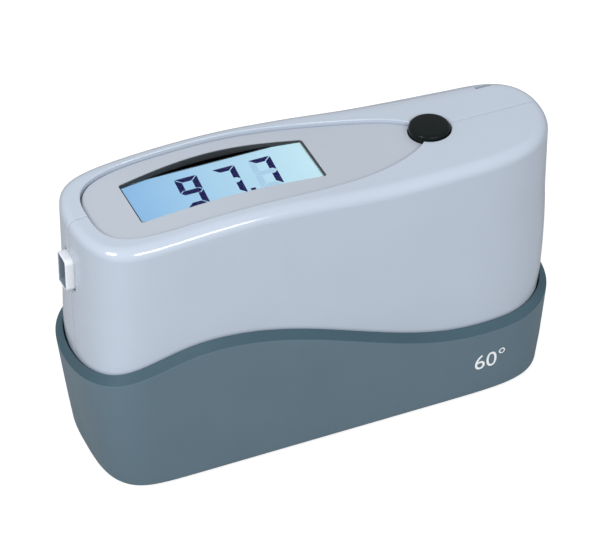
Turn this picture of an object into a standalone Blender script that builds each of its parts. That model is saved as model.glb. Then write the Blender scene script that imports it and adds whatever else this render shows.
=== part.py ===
"""Pocket gloss meter standing in its calibration holder.

The meter is a clamshell of two thin half shells round an optical block, with a display
panel let into its top. It stands in a moulded holder whose rim runs in a wave, over a
black glass tile. Units are metres. The origin is at the bottom centre of the holder,
X runs along the meter towards the button, and -Y is the front.
"""
import math

import bmesh
import bpy
from mathutils import Matrix, Vector

# Fits between neighbouring pieces
GAP = 0.0003
BORE_GAP = 0.0003

# Meter body, in plan a superellipse whose exponents at a high and a low level are eased between
BODY_LENGTH = 0.140
BODY_WIDTH = 0.0435
LEFT_END_EXPONENTS = (12.4, 16.7)
RIGHT_END_EXPONENTS = (7.15, 10.2)
SIDE_EXPONENTS = (2.08, 2.95)
PLAN_HIGH_Z = 0.060
PLAN_LOW_Z = 0.010
WALL = 0.0022
RIGHT_LEAN = 0.0020
LEAN_START_Z = 0.032
LEFT_TAPER_START_Z = 0.040
RIGHT_TAPER_START_Z = 0.033
LEFT_END_TAPER = 0.0038
RIGHT_END_TAPER = 0.0027
SIDE_TAPER = 0.0006
TAPER_SOFTNESS = 0.1
PLAN_STEPS = 72
FILLET_STEPS = 5

# Round of the top edge: along the front, at the two ends, and along the rear as (x, radius)
FRONT_FILLET = 0.0034
LEFT_FILLET = 0.0026
RIGHT_FILLET = 0.0030
REAR_FILLET = ((-0.070, 0.0050), (0.0, 0.0054), (0.050, 0.0105), (0.066, 0.0090))

# Top profile: level shoulder with a dome over the display
DOME_RISE = 0.00315
DOME_INSET = 0.045
DOME_LEFT_REACH = 0.060
DOME_RIGHT_REACH = 0.050

# Calibration holder
HOLDER_WALL = 0.0024
HOLDER_FIT = 0.0004
HOLDER_FLOOR = 0.0026
HOLDER_EDGE = 0.0011
LIP_SLOPE = math.radians(42)
LIP_ROUND = 0.0007
FOOT_PROUD = 0.0006
FOOT_RADIUS = 0.0042
FOOT_THICKNESS = 0.0014
FOOT_END_INSET = 0.0200
FOOT_SIDE_INSET = 0.00835
# The front rim's crests and troughs as (x, height), eased between them. The rear rim has
# no trough left of the crest, so at the display end the rim climbs between these two Y.
RIM_WAVE = ((-0.078, 0.0360), (-0.038, 0.0472), (0.048, 0.0251), (0.053, 0.0251), (0.078, 0.0325))
REAR_RIM = ((-0.078, 0.0436), *RIM_WAVE[1:])
CLIMB_FRONT_Y = -0.002
CLIMB_BACK_Y = 0.011

# Tile that the meter is calibrated on
TILE_LENGTH = 0.054
TILE_WIDTH = 0.026
TILE_THICKNESS = 0.0030
PAD_THICKNESS = 0.0018
CARRIER_WALL = 0.0026
SEAT_END_INSET = 0.0190
SEAT_WIDTH = 0.0030
SEAT_HALF_LENGTH = 0.013

# Measuring face
METER_LIFT = 0.0095
SHELL_REVEAL = 0.0005
FACE_THICKNESS = 0.0033
APERTURE_LENGTH = 0.015
APERTURE_WIDTH = 0.009

# Optics at sixty degrees
LIGHT_ANGLE = math.radians(60.0)
CHANNEL_RADIUS = 0.0040
BLOCK_END_INSET = 0.0150
BLOCK_FOOT_HALF_LENGTH = 0.022
BLOCK_WIDTH = 0.022
BLOCK_SHOULDER_Z = 0.033
BLOCK_TOP_Z = 0.044
LENS_DISTANCE = 0.041
LENS_RADIUS_OF_CURVE = 0.012
LENS_EDGE = 0.0012
LAMP_DISTANCE = 0.053
LAMP_LENGTH = 0.009
LAMP_TIP_RADIUS = 0.0023

# Display
PANEL_END_MARGIN = 0.0058
PANEL_SIDE_MARGIN = 0.00505
PANEL_LEFT_REACH = 0.0332
PANEL_TIP_INSET = 0.0016
PANEL_LEFT_EXPONENT = 4.6
PANEL_RIGHT_EXPONENT = 2.5
PANEL_LEFT_SIDE_EXPONENT = 3.0
PANEL_STEPS = 12
PANEL_SINK = 0.0012
PANEL_PLATE = 0.0012
PANEL_EDGE = 0.0005
PANEL_FLANGE = 0.0012
FLANGE_DROOP = 0.0006
WINDOW_END_MARGIN = 0.0123
WINDOW_LENGTH = 0.0546
WINDOW_FRONT_MARGIN = 0.0081
WINDOW_BACK_MARGIN = 0.0074
WINDOW_BOW = 0.0026
BEZEL_WALL = 0.0008
LENS_PLATE = 0.0006
LCD_DEPTH = 0.0009
LCD_MARGIN = 0.0016
LCD_GLASS = 0.0018
BACKLIGHT = 0.0046

# Main board and its rails
BOARD_THICKNESS = 0.0016
BOARD_LEFT_INSET = 0.010
BOARD_RIGHT_INSET = 0.023
BOARD_SIDE_CLEARANCE = 0.00465
BOARD_HEADROOM = 0.0036
BOARD_CORNER = 0.0016
RAIL_HEIGHT = 0.0016
RAIL_LEFT_INSET = 0.008
RAIL_RIGHT_INSET = 0.005
RAIL_OVERLAP = 0.0012

# Measuring button
BUTTON_END_INSET = 0.0324
BUTTON_RADIUS = 0.0058
BUTTON_PROUD = 0.0006
BUTTON_EDGE = 0.0009
BUTTON_FLANGE = 0.0010
BUTTON_FLANGE_THICKNESS = 0.0010
HUB_RADIUS = 0.0025
HUB_DROP = 0.0002
BUTTON_TRAVEL = 0.0006
PLUNGER_RADIUS = 0.00175
SWITCH_SIZE = 0.0062

# Output socket in the display end
SOCKET_DROP = 0.0159
SOCKET_WIDTH = 0.0076
SOCKET_HEIGHT = 0.0122
SOCKET_PROUD = 0.0025
SOCKET_WALL = 0.0012
SOCKET_DEPTH = 0.0075
SOCKET_CORNER = 0.0013
SOCKET_FLANGE = 0.0014
CONTACT_RADIUS = 0.00045
CONTACT_LENGTH = 0.0012
CONTACT_PITCH = 0.0022
CONTACT_COUNT = 4
INSERT_THICKNESS = 0.0012

# Battery bay behind the rear shell
CELL_RADIUS = 0.00525
CELL_LENGTH = 0.0445
CELL_PITCH = 0.0110
CELL_END_INSET = 0.0390
CELL_WALL_CLEARANCE = 0.0020
CELL_EDGE = 0.0005
NUB_RADIUS = 0.0019
NUB_LENGTH = 0.0010
TRAY_WALL = 0.0012
CONTACT_PLATE = 0.0004
COVER_MARGIN = 0.0010
HOOK_WIDTH = 0.0060
HOOK_SPREAD = 0.0130
HOOK_DROP = 0.0016
HOOK_THICKNESS = 0.0011
HOOK_SWING = 0.0008
GRIP_RIBS = 5
GRIP_PITCH = 0.0018
GRIP_LENGTH = 0.012
GRIP_RADIUS = 0.0006

# Fasteners
SCREW_RADIUS = 0.0011
SCREW_HEAD_RADIUS = 0.0023
SCREW_HEAD_HEIGHT = 0.0014
CROSS_LENGTH = 0.0026
CROSS_WIDTH = 0.0006
CROSS_DEPTH = 0.0007
BOSS_RADIUS = 0.0033
BOSS_BORE_DEPTH = 0.0110
HEAD_SEAT_Y = 0.0060
SCREW_END_INSET = 0.0150
SCREW_LOW_RISE = 0.0145
SCREW_LEFT_DROP = 0.0209
SCREW_RIGHT_DROP = 0.0094
SCREW_RIGHT_INSET = 0.0135
PLATE_SCREW_X = 0.0165
PLATE_SCREW_Y = 0.0075
PLATE_SCREW_LENGTH = 0.0090

# Wrist-strap eye in the rear top edge
STRAP_END_INSET = 0.0100
STRAP_INSET = 0.0058
STRAP_SLOT_LENGTH = 0.0050
STRAP_SLOT_WIDTH = 0.0009
STRAP_EXIT_DROP = 0.0120

# Heights that follow from what is stacked inside: block, cells, board and display
TRAY_TOP_Z = BLOCK_TOP_Z + 3 * GAP + 2 * TRAY_WALL + 2 * CELL_RADIUS + CELL_PITCH
BOARD_Z = TRAY_TOP_Z + BOARD_HEADROOM
LCD_TOP_Z = BOARD_Z + BOARD_THICKNESS + 2 * GAP + BACKLIGHT + LCD_GLASS
SHOULDER_Z = LCD_TOP_Z + LCD_DEPTH
SOCKET_Z = SHOULDER_Z - SOCKET_DROP

# Places that follow from the body's ends and sides
END_X = BODY_LENGTH / 2
SIDE_Y = BODY_WIDTH / 2
DOME_X = DOME_INSET - END_X
BUTTON_X = END_X - BUTTON_END_INSET
PANEL_X = PANEL_END_MARGIN + PANEL_LEFT_REACH - END_X
PANEL_RIGHT_REACH = BUTTON_X - PANEL_TIP_INSET - PANEL_X
PANEL_HALF_WIDTH = SIDE_Y - PANEL_SIDE_MARGIN
WINDOW_LEFT_X = PANEL_END_MARGIN + WINDOW_END_MARGIN - END_X
WINDOW_RIGHT_X = WINDOW_LEFT_X + WINDOW_LENGTH
WINDOW_FRONT_Y = WINDOW_FRONT_MARGIN - PANEL_HALF_WIDTH
WINDOW_BACK_Y = PANEL_HALF_WIDTH - WINDOW_BACK_MARGIN
BOARD_LEFT_X = BOARD_LEFT_INSET - END_X
BOARD_RIGHT_X = END_X - BOARD_RIGHT_INSET
BOARD_HALF_WIDTH = SIDE_Y - WALL - BOARD_SIDE_CLEARANCE
BLOCK_HALF_LENGTH = END_X - BLOCK_END_INSET
CELL_X = END_X - CELL_END_INSET
CELL_DEPTH_Y = SIDE_Y - WALL - CELL_WALL_CLEARANCE - CELL_RADIUS
FOOT_X = END_X - FOOT_END_INSET
FOOT_Y = SIDE_Y - FOOT_SIDE_INSET
SEAT_X = END_X - SEAT_END_INSET
STRAP_X = END_X - STRAP_END_INSET
SCREW_X = END_X - SCREW_END_INSET
SCREW_LOW_Z = METER_LIFT + SCREW_LOW_RISE
SHELL_SCREWS = (
    (-SCREW_X, SCREW_LOW_Z),
    (SCREW_X, SCREW_LOW_Z),
    (-SCREW_X, SHOULDER_Z - SCREW_LEFT_DROP),
    (END_X - SCREW_RIGHT_INSET, SHOULDER_Z - SCREW_RIGHT_DROP),
)


def clear_scene():
    for obj in list(bpy.data.objects):
        bpy.data.objects.remove(obj, do_unlink=True)


def new_collection(name, hidden=False):
    group = bpy.data.collections.new(name)
    group.hide_render = hidden
    bpy.context.scene.collection.children.link(group)
    return group


def plastic(name, colour, roughness, metallic=0.0):
    material = bpy.data.materials.new(name)
    material.use_nodes = True
    shader = material.node_tree.nodes["Principled BSDF"]
    shader.inputs["Base Color"].default_value = (*colour, 1.0)
    shader.inputs["Roughness"].default_value = roughness
    shader.inputs["Metallic"].default_value = metallic
    return material


def place(mesh, name, material, origin=(0.0, 0.0, 0.0)):
    """Make a visible sub-part of a mesh drawn in world coordinates, with its origin moved."""
    mesh.transform(Matrix.Translation(-Vector(origin)))
    obj = bpy.data.objects.new(name, mesh)
    obj.location = origin
    mesh.materials.append(material)
    parts.objects.link(obj)
    return obj


def place_cutter(mesh, name):
    obj = bpy.data.objects.new(name, mesh)
    obj.hide_render = True
    obj.display_type = "WIRE"
    cutters.objects.link(obj)
    return obj


def boolean(target, other, operation):
    modifier = target.modifiers.new(other.name, "BOOLEAN")
    modifier.operation = operation
    modifier.solver = "EXACT"
    modifier.object = other


def cut(target, mesh, name):
    boolean(target, place_cutter(mesh, name), "DIFFERENCE")


def join(target, mesh, name):
    boolean(target, place_cutter(mesh, name), "UNION")


def mesh_from(bm, name):
    bmesh.ops.recalc_face_normals(bm, faces=bm.faces)
    mesh = bpy.data.meshes.new(name)
    bm.to_mesh(mesh)
    bm.free()
    return mesh


def smooth(obj, degrees=35.0):
    obj.data.shade_smooth()
    obj.data.set_sharp_from_angle(angle=math.radians(degrees))


def box_mesh(low, high, name="box"):
    low, high = Vector(low), Vector(high)
    bm = bmesh.new()
    bmesh.ops.create_cube(bm, size=1.0)
    bmesh.ops.scale(bm, vec=high - low, verts=bm.verts)
    bmesh.ops.translate(bm, vec=(low + high) / 2, verts=bm.verts)
    return mesh_from(bm, name)


def rod_mesh(start, end, radius, steps=24, name="rod"):
    """A cylinder from start to end."""
    start, end = Vector(start), Vector(end)
    depth = (end - start).length
    bm = bmesh.new()
    bmesh.ops.create_cone(
        bm, cap_ends=True, segments=steps, radius1=radius, radius2=radius, depth=depth,
    )
    turn = Vector((0, 0, 1)).rotation_difference(end - start).to_matrix().to_4x4()
    bmesh.ops.transform(bm, matrix=Matrix.Translation((start + end) / 2) @ turn, verts=bm.verts)
    return mesh_from(bm, name)


def turned(name, profile, material, location, axis=(0, 0, 1), steps=24):
    """Turn a profile of (radius, height) points, listed from top to bottom, about its axis."""
    bm = bmesh.new()
    points = [bm.verts.new((radius, 0.0, height)) for radius, height in profile]
    for upper, lower in zip(points, points[1:]):
        bm.edges.new((upper, lower))
    mesh = bpy.data.meshes.new(name)
    bm.to_mesh(mesh)
    bm.free()
    obj = bpy.data.objects.new(name, mesh)
    obj.location = location
    obj.rotation_euler = Vector((0, 0, 1)).rotation_difference(Vector(axis)).to_euler()
    mesh.materials.append(material)
    parts.objects.link(obj)
    screw = obj.modifiers.new("turn", "SCREW")
    screw.axis = "Z"
    screw.steps = steps
    screw.render_steps = steps
    screw.use_merge_vertices = True
    screw.merge_threshold = 0.00001
    screw.use_smooth_shade = True
    return obj


def prism_mesh(outline, low_z, high_z, name="prism"):
    """A plate of the outline's shape, made from a flat filled curve."""
    curve = bpy.data.curves.new(name, "CURVE")
    curve.dimensions = "2D"
    curve.fill_mode = "BOTH"
    curve.extrude = (high_z - low_z) / 2
    spline = curve.splines.new("POLY")
    spline.points.add(len(outline) - 1)
    for point, (x, y) in zip(spline.points, outline):
        point.co = (x, y, 0.0, 1.0)
    spline.use_cyclic_u = True
    holder = bpy.data.objects.new(name, curve)
    bpy.context.scene.collection.objects.link(holder)
    graph = bpy.context.evaluated_depsgraph_get()
    mesh = bpy.data.meshes.new_from_object(holder.evaluated_get(graph))
    bpy.data.objects.remove(holder, do_unlink=True)
    bm = bmesh.new()
    bm.from_mesh(mesh)
    bmesh.ops.remove_doubles(bm, verts=bm.verts, dist=0.000001)
    bmesh.ops.translate(bm, vec=(0, 0, (low_z + high_z) / 2), verts=bm.verts)
    bpy.data.meshes.remove(mesh)
    return mesh_from(bm, name)


def bridge(bm, lower, upper):
    count = len(lower)
    for i in range(count):
        j = (i + 1) % count
        bm.faces.new((lower[i], lower[j], upper[j], upper[i]))


def ladder_cap(bm, ring):
    """Close a ring that is mirrored in Y with strips that run straight across it."""
    count = len(ring)
    half = count // 2
    bm.faces.new((ring[0], ring[1], ring[-1]))
    for i in range(1, half - 1):
        bm.faces.new((ring[i], ring[i + 1], ring[count - i - 1], ring[count - i]))
    bm.faces.new((ring[half - 1], ring[half], ring[half + 1]))


def ring_loft(rings, name):
    """A closed body through rings of equal counts, capped across at both ends."""
    bm = bmesh.new()
    made = [[bm.verts.new(point) for point in ring] for ring in rings]
    for lower, upper in zip(made, made[1:]):
        bridge(bm, lower, upper)
    ladder_cap(bm, made[0])
    ladder_cap(bm, made[-1])
    return mesh_from(bm, name)


def ease(share):
    share = min(1.0, max(0.0, share))
    return (1 - math.cos(math.pi * share)) / 2


# Forms that the meter and its holder share


def top_z(x):
    """Height of the meter's top: level, with a dome over the display."""
    reach = DOME_LEFT_REACH if x < DOME_X else DOME_RIGHT_REACH
    share = min(1.0, abs(x - DOME_X) / reach)
    return SHOULDER_Z + DOME_RISE * math.cos(math.pi / 2 * share) ** 2


def eased(table, x):
    """The value at x of a table of (x, value), eased between its entries."""
    for (x0, value0), (x1, value1) in zip(table, table[1:]):
        if x <= x1:
            return value0 + (value1 - value0) * ease((x - x0) / (x1 - x0))
    return table[-1][1]


def rim_z(x, y):
    """Height of the holder's rim: the wave in front, nearly level left of the crest behind."""
    front_z = eased(RIM_WAVE, x)
    rear_z = eased(REAR_RIM, x)
    climb = ease((y - CLIMB_FRONT_Y) / (CLIMB_BACK_Y - CLIMB_FRONT_Y))
    return front_z + (rear_z - front_z) * climb


def taper_share(z, start_z):
    """How far the taper has gone: 0 from start_z up, and 1 at the measuring face."""
    depth = max(0.0, (start_z - z) / (start_z - METER_LIFT))
    soft = TAPER_SOFTNESS
    return (math.hypot(depth, soft) - soft) / (math.hypot(1.0, soft) - soft)


def half_sizes(z, right):
    """Half the meter's length and width at a height: upright, then tapering into the holder."""
    half_length = BODY_LENGTH / 2
    if right:
        lean = max(0.0, z - LEAN_START_Z) / (SHOULDER_Z - LEAN_START_Z)
        half_length += RIGHT_LEAN * lean - RIGHT_END_TAPER * taper_share(z, RIGHT_TAPER_START_Z)
    else:
        half_length -= LEFT_END_TAPER * taper_share(z, LEFT_TAPER_START_Z)
    return half_length, BODY_WIDTH / 2 - SIDE_TAPER * taper_share(z, LEFT_TAPER_START_Z)


def exponents(z, right):
    """The plan's end and side exponents at a height: squarer towards the measuring face."""
    share = min(1.0, max(0.0, (PLAN_HIGH_Z - z) / (PLAN_HIGH_Z - PLAN_LOW_Z)))
    ends = RIGHT_END_EXPONENTS if right else LEFT_END_EXPONENTS
    return [high + (low - high) * share for high, low in (ends, SIDE_EXPONENTS)]


def plan_point(angle, z, outset=0.0):
    """A point of the body's plan at this height, moved out along its normal."""
    c, s = math.cos(angle), math.sin(angle)
    half_length, half_width = half_sizes(z, c > 0)
    end_power, side_power = exponents(z, c > 0)
    low, high = 0.5, 1.5
    for _ in range(40):
        middle = (low + high) / 2
        inside = abs(middle * c) ** end_power + abs(middle * s) ** side_power < 1
        low, high = (middle, high) if inside else (low, middle)
    x_share, y_share = low * c, low * s
    normal = Vector((
        math.copysign(end_power * abs(x_share) ** (end_power - 1) / half_length, c),
        math.copysign(side_power * abs(y_share) ** (side_power - 1) / half_width, s),
    )).normalized()
    return (
        half_length * x_share + outset * normal.x,
        half_width * y_share + outset * normal.y,
    )


def wall_y(x, z):
    """Distance of the body's outer wall from the middle plane."""
    half_length, half_width = half_sizes(z, x > 0)
    end_power, side_power = exponents(z, x > 0)
    return half_width * (1 - abs(x / half_length) ** end_power) ** (1 / side_power)


def top_fillet(angle):
    """Radius of the body's top edge: the front's or the rear's, turning into the end's."""
    x, y = plan_point(angle, SHOULDER_Z)
    end_share = (plan_point(angle, SHOULDER_Z, 1.0)[0] - x) ** 2
    side_radius = FRONT_FILLET if y < 0 else eased(REAR_FILLET, x)
    end_radius = RIGHT_FILLET if x > 0 else LEFT_FILLET
    return side_radius + (end_radius - side_radius) * end_share


def body_ring(z, outset):
    """The whole plan at one height, mirrored in Y."""
    angles = [math.tau * i / PLAN_STEPS for i in range(PLAN_STEPS)]
    return [(*plan_point(angle, z, outset), z) for angle in angles]


# Calibration holder


def holder_ring(share, outset, drop=0.0, low_z=0.0):
    """A ring of the holder's wall: share 0 is at low_z and share 1 is drop below the rim."""
    ring = []
    for i in range(PLAN_STEPS):
        angle = math.tau * i / PLAN_STEPS
        crest_z = rim_z(*plan_point(angle, SHOULDER_Z)) - drop
        z = low_z + share * (crest_z - low_z)
        ring.append((*plan_point(angle, z, outset), z))
    return ring


def lip_profile(inner, outer):
    """Outset and drop of the lip's rings: a tight round out of the wall, then a slope."""
    crest = inner + GAP
    last_turn = math.pi / 2 - LIP_SLOPE
    slope_width = outer - LIP_ROUND * (1 - math.cos(last_turn)) - crest
    depth = slope_width * math.tan(LIP_SLOPE) + LIP_ROUND * math.sin(last_turn)
    turns = [last_turn * step / 2 for step in range(3)]
    rounded = [
        (outer - LIP_ROUND * (1 - math.cos(turn)), depth - LIP_ROUND * math.sin(turn))
        for turn in turns
    ]
    return [*rounded, (crest, 0.0)]


def holder_mesh():
    """The tray: rounded foot, tapering wall, sloping lip on a wave, and the pocket inside."""
    inner = HOLDER_FIT
    outer = HOLDER_FIT + HOLDER_WALL
    floor_z = FOOT_PROUD + HOLDER_FLOOR
    foot_z = FOOT_PROUD + HOLDER_EDGE
    rings = []
    for step in range(3):
        turn = math.pi / 2 * step / 2
        z = FOOT_PROUD + HOLDER_EDGE * (1 - math.sin(turn))
        rings.append(body_ring(z, outer - HOLDER_EDGE * (1 - math.cos(turn))))
    rings.reverse()
    lip = lip_profile(inner, outer)
    for share in (0.3, 0.6):
        rings.append(holder_ring(share, outer, lip[0][1], foot_z))
    for outset, drop in lip:
        rings.append(holder_ring(1.0, outset, drop))
    for share in (1.0, 0.66, 0.33):
        rings.append(holder_ring(share, inner, GAP, floor_z))
    rings.append(body_ring(floor_z, inner))
    return ring_loft(rings, "calibration_base")


def tile_pocket(margin, low_z, high_z):
    half_length = TILE_LENGTH / 2 + margin
    half_width = TILE_WIDTH / 2 + margin
    return box_mesh((-half_length, -half_width, low_z), (half_length, half_width, high_z))


def calibration_base():
    floor_z = FOOT_PROUD + HOLDER_FLOOR
    seat_z = METER_LIFT - GAP
    base = place(holder_mesh(), "calibration_base", slate)
    join(base, tile_pocket(CARRIER_WALL + GAP, floor_z - GAP, seat_z), "tile_carrier")
    for side in (-1, 1):
        x = side * SEAT_X
        join(base, box_mesh(
            (x - SEAT_WIDTH / 2, -SEAT_HALF_LENGTH, floor_z - GAP),
            (x + SEAT_WIDTH / 2, SEAT_HALF_LENGTH, seat_z),
        ), "seat_rib")
    cut(base, tile_pocket(GAP, floor_z, METER_LIFT + GAP), "tile_pocket")
    for x in (-FOOT_X, FOOT_X):
        for y in (-FOOT_Y, FOOT_Y):
            pocket_z = FOOT_THICKNESS + GAP
            cut(base, rod_mesh((x, y, -GAP), (x, y, pocket_z), FOOT_RADIUS + GAP), "foot_pocket")
    smooth(base)


def calibration_tile():
    pad_z = FOOT_PROUD + HOLDER_FLOOR + GAP
    tile_z = METER_LIFT - 2 * GAP - TILE_THICKNESS
    place(tile_pocket(0.0, tile_z, tile_z + TILE_THICKNESS), "calibration_tile", black_glass)
    place(tile_pocket(-GAP, pad_z, pad_z + PAD_THICKNESS), "tile_pad", foam)


def base_feet():
    number = 0
    for x in (-FOOT_X, FOOT_X):
        for y in (-FOOT_Y, FOOT_Y):
            number += 1
            edge = FOOT_PROUD / 2
            profile = (
                (0.0, FOOT_THICKNESS), (FOOT_RADIUS, FOOT_THICKNESS), (FOOT_RADIUS, edge),
                (FOOT_RADIUS - edge, 0.0), (0.0, 0.0),
            )
            turned(f"base_foot_{number}", profile, rubber, (x, y, 0.0), steps=20)


# Clamshell


def shell_surface(side):
    """The outer skin of one half, open at the bottom and at the middle plane."""
    bm = bmesh.new()
    half = PLAN_STEPS // 2
    start = 0.0 if side > 0 else math.pi
    bottom_z = METER_LIFT + SHELL_REVEAL
    rows = []
    angles = [start + math.pi * i / half for i in range(half + 1)]
    for share in (0.0, 0.5, 1.0):
        z = bottom_z + share * (LEFT_TAPER_START_Z - bottom_z)
        rows.append([(*plan_point(angle, z), z) for angle in angles])
    rows.append([(*plan_point(angle, PLAN_HIGH_Z), PLAN_HIGH_Z) for angle in angles])
    for step in range(FILLET_STEPS + 1):
        turn = math.pi / 2 * step / FILLET_STEPS
        row = []
        for angle in angles:
            radius = top_fillet(angle)
            x, y = plan_point(angle, SHOULDER_Z, -radius * (1 - math.cos(turn)))
            row.append((x, y, top_z(x) - radius * (1 - math.sin(turn))))
        rows.append(row)
    made = []
    for row in rows:
        split = [(x, side * max(abs(y), GAP / 2), z) for x, y, z in row]
        made.append([bm.verts.new(point) for point in split])
    for lower, upper in zip(made, made[1:]):
        for i in range(half):
            bm.faces.new((lower[i], lower[i + 1], upper[i + 1], upper[i]))
    rim = made[-1]
    ridge = [bm.verts.new((v.co.x, side * GAP / 2, v.co.z)) for v in rim[1:-1]]
    ridge = [rim[0], *ridge, rim[-1]]
    for i in range(half):
        corners = [rim[i], rim[i + 1], ridge[i + 1], ridge[i]]
        bm.faces.new(list(dict.fromkeys(corners)))
    bmesh.ops.recalc_face_normals(bm, faces=bm.faces)
    top = max(bm.faces, key=lambda face: face.calc_center_median().z)
    if top.normal.z < 0:
        bmesh.ops.reverse_faces(bm, faces=bm.faces)
    mesh = bpy.data.meshes.new("shell")
    bm.to_mesh(mesh)
    bm.free()
    return mesh


def panel_outline(margin=0.0):
    """The display panel's plan: blunt at the left, running to a tip under the button."""
    half_width = PANEL_HALF_WIDTH + margin
    right, left = [], []
    for step in range(PANEL_STEPS):
        turn = math.pi / 2 * step / PANEL_STEPS
        x = PANEL_X + (PANEL_RIGHT_REACH + margin) * math.cos(turn) ** (2 / PANEL_RIGHT_EXPONENT)
        right.append((x, half_width * math.sin(turn)))
        x = PANEL_X - (PANEL_LEFT_REACH + margin) * math.cos(turn) ** (2 / PANEL_LEFT_EXPONENT)
        left.append((x, half_width * math.sin(turn) ** (2 / PANEL_LEFT_SIDE_EXPONENT)))
    upper = [*right, (PANEL_X, half_width), *reversed(left)]
    lower = [(x, -y) for x, y in reversed(upper[1:-1])]
    return upper + lower


def boss_end(x, z):
    """How far a screw boss reaches, so that it ends inside the shell's wall."""
    far = wall_y(math.copysign(abs(x) + BOSS_RADIUS, x), z)
    return far - WALL / 3


def rail_box(side):
    rail_top = BOARD_Z - GAP
    left_x = BOARD_LEFT_X + RAIL_LEFT_INSET
    right_x = BOARD_RIGHT_X - RAIL_RIGHT_INSET
    near = BOARD_HALF_WIDTH - RAIL_OVERLAP
    far = wall_y(left_x, rail_top) - WALL / 2
    low_y, high_y = sorted((side * near, side * far))
    return box_mesh((left_x, low_y, rail_top - RAIL_HEIGHT), (right_x, high_y, rail_top))


def add_shell(name, side):
    shell = place(shell_surface(side), name, body_plastic)
    solidify = shell.modifiers.new("wall", "SOLIDIFY")
    solidify.thickness = WALL
    solidify.offset = -1
    solidify.use_even_offset = True
    for x, z in SHELL_SCREWS:
        root = (x, side * GAP / 2, z)
        join(shell, rod_mesh(root, (x, side * boss_end(x, z), z), BOSS_RADIUS, 20), "boss")
    join(shell, rail_box(side), "rail")
    for x, z in SHELL_SCREWS:
        bore = SCREW_RADIUS + BORE_GAP
        cut(shell, rod_mesh((x, BOSS_BORE_DEPTH, z), (x, -BOSS_BORE_DEPTH, z), bore, 16), "bore")
    cut(shell, prism_mesh(panel_outline(), panel_under_z(), top_z(DOME_X) + WALL), "panel_hole")
    cut(shell, button_hole(), "button_hole")
    cut(shell, socket_block(GAP, BODY_LENGTH / 2 + WALL, BODY_LENGTH / 2 - 2 * WALL), "socket_hole")
    return shell


def front_shell():
    smooth(add_shell("front_shell", -1))


def strap_slots():
    """Two short slots that a wrist strap is threaded through, in the top and in the back."""
    half = STRAP_SLOT_LENGTH / 2
    width = STRAP_SLOT_WIDTH / 2
    y = wall_y(STRAP_X, SHOULDER_Z) - STRAP_INSET
    z = SHOULDER_Z - STRAP_EXIT_DROP
    low_x, high_x = STRAP_X - half, STRAP_X + half
    top = box_mesh(
        (low_x, y - width, z), (high_x, y + width, SHOULDER_Z + WALL),
    )
    back = box_mesh((low_x, y, z - width), (high_x, y + 2 * STRAP_INSET, z + width))
    return top, back


def bay_box(margin):
    """The battery opening in the rear wall, from the tray's mouth outwards."""
    low_x, high_x, low_z, high_z = tray_frame()
    edge = COVER_MARGIN - margin
    return box_mesh(
        (low_x + edge, BOARD_HALF_WIDTH, low_z + edge), (high_x - edge, BODY_WIDTH, high_z - edge),
    )


def rear_shell():
    shell = add_shell("rear_shell", 1)
    for x, z in SHELL_SCREWS:
        bore = SCREW_HEAD_RADIUS + BORE_GAP
        cut(shell, rod_mesh((x, HEAD_SEAT_Y, z), (x, BODY_WIDTH, z), bore, 20), "head_recess")
    top, back = strap_slots()
    cut(shell, top, "strap_slot_top")
    cut(shell, back, "strap_slot_back")
    cut(shell, bay_box(0.0), "bay_opening")
    smooth(shell)


# Measuring face and optics


def base_plate():
    low_z = METER_LIFT
    high_z = low_z + FACE_THICKNESS
    inset = WALL + GAP
    plate = place(ring_loft([body_ring(low_z, -inset), body_ring(high_z, -inset)], "base_plate"),
                  "base_plate", black_plastic)
    half = APERTURE_LENGTH / 2 - APERTURE_WIDTH / 2
    outline = []
    for step in range(24):
        turn = math.tau * step / 24
        shift = half if math.cos(turn) > 0 else -half
        outline.append((shift + APERTURE_WIDTH / 2 * math.cos(turn), APERTURE_WIDTH / 2 * math.sin(turn)))
    cut(plate, prism_mesh(outline, low_z - WALL, high_z + WALL), "aperture")
    for x, y in plate_screw_places():
        head_z = low_z + SCREW_HEAD_HEIGHT + 2 * GAP
        cut(plate, rod_mesh((x, y, low_z - WALL), (x, y, head_z), SCREW_HEAD_RADIUS + BORE_GAP, 20), "head")
        cut(plate, rod_mesh((x, y, low_z), (x, y, high_z + WALL), SCREW_RADIUS + BORE_GAP, 16), "bore")


def plate_screw_places():
    return [(i * PLATE_SCREW_X, j * PLATE_SCREW_Y) for i in (-1, 1) for j in (-1, 1)]


def light_point(side, distance):
    """A point on the light's path, measured from the middle of the measuring spot."""
    return Vector((
        side * distance * math.sin(LIGHT_ANGLE), 0.0, METER_LIFT + distance * math.cos(LIGHT_ANGLE),
    ))


def light_axis(side):
    return (light_point(side, 1.0) - light_point(side, 0.0)).normalized()


def optical_block():
    """A V-shaped block with two light channels that meet over the measuring spot."""
    foot_z = METER_LIFT + FACE_THICKNESS + GAP
    profile = (
        (-BLOCK_FOOT_HALF_LENGTH, foot_z), (BLOCK_FOOT_HALF_LENGTH, foot_z),
        (BLOCK_HALF_LENGTH, BLOCK_SHOULDER_Z), (BLOCK_HALF_LENGTH, BLOCK_TOP_Z),
        (-BLOCK_HALF_LENGTH, BLOCK_TOP_Z), (-BLOCK_HALF_LENGTH, BLOCK_SHOULDER_Z),
    )
    mesh = prism_mesh(profile, -BLOCK_WIDTH / 2, BLOCK_WIDTH / 2)
    mesh.transform(Matrix.Rotation(math.pi / 2, 4, "X"))
    block = place(mesh, "optical_block", black_plastic)
    for side in (-1, 1):
        cut(block, rod_mesh(light_point(side, 0.0), light_point(side, 2 * BLOCK_HALF_LENGTH),
                            CHANNEL_RADIUS, 24), "light_channel")
    for x, y in plate_screw_places():
        top = METER_LIFT + PLATE_SCREW_LENGTH + SCREW_HEAD_HEIGHT + 2 * GAP
        cut(block, rod_mesh((x, y, METER_LIFT), (x, y, top), SCREW_RADIUS + BORE_GAP, 16), "bore")


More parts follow.
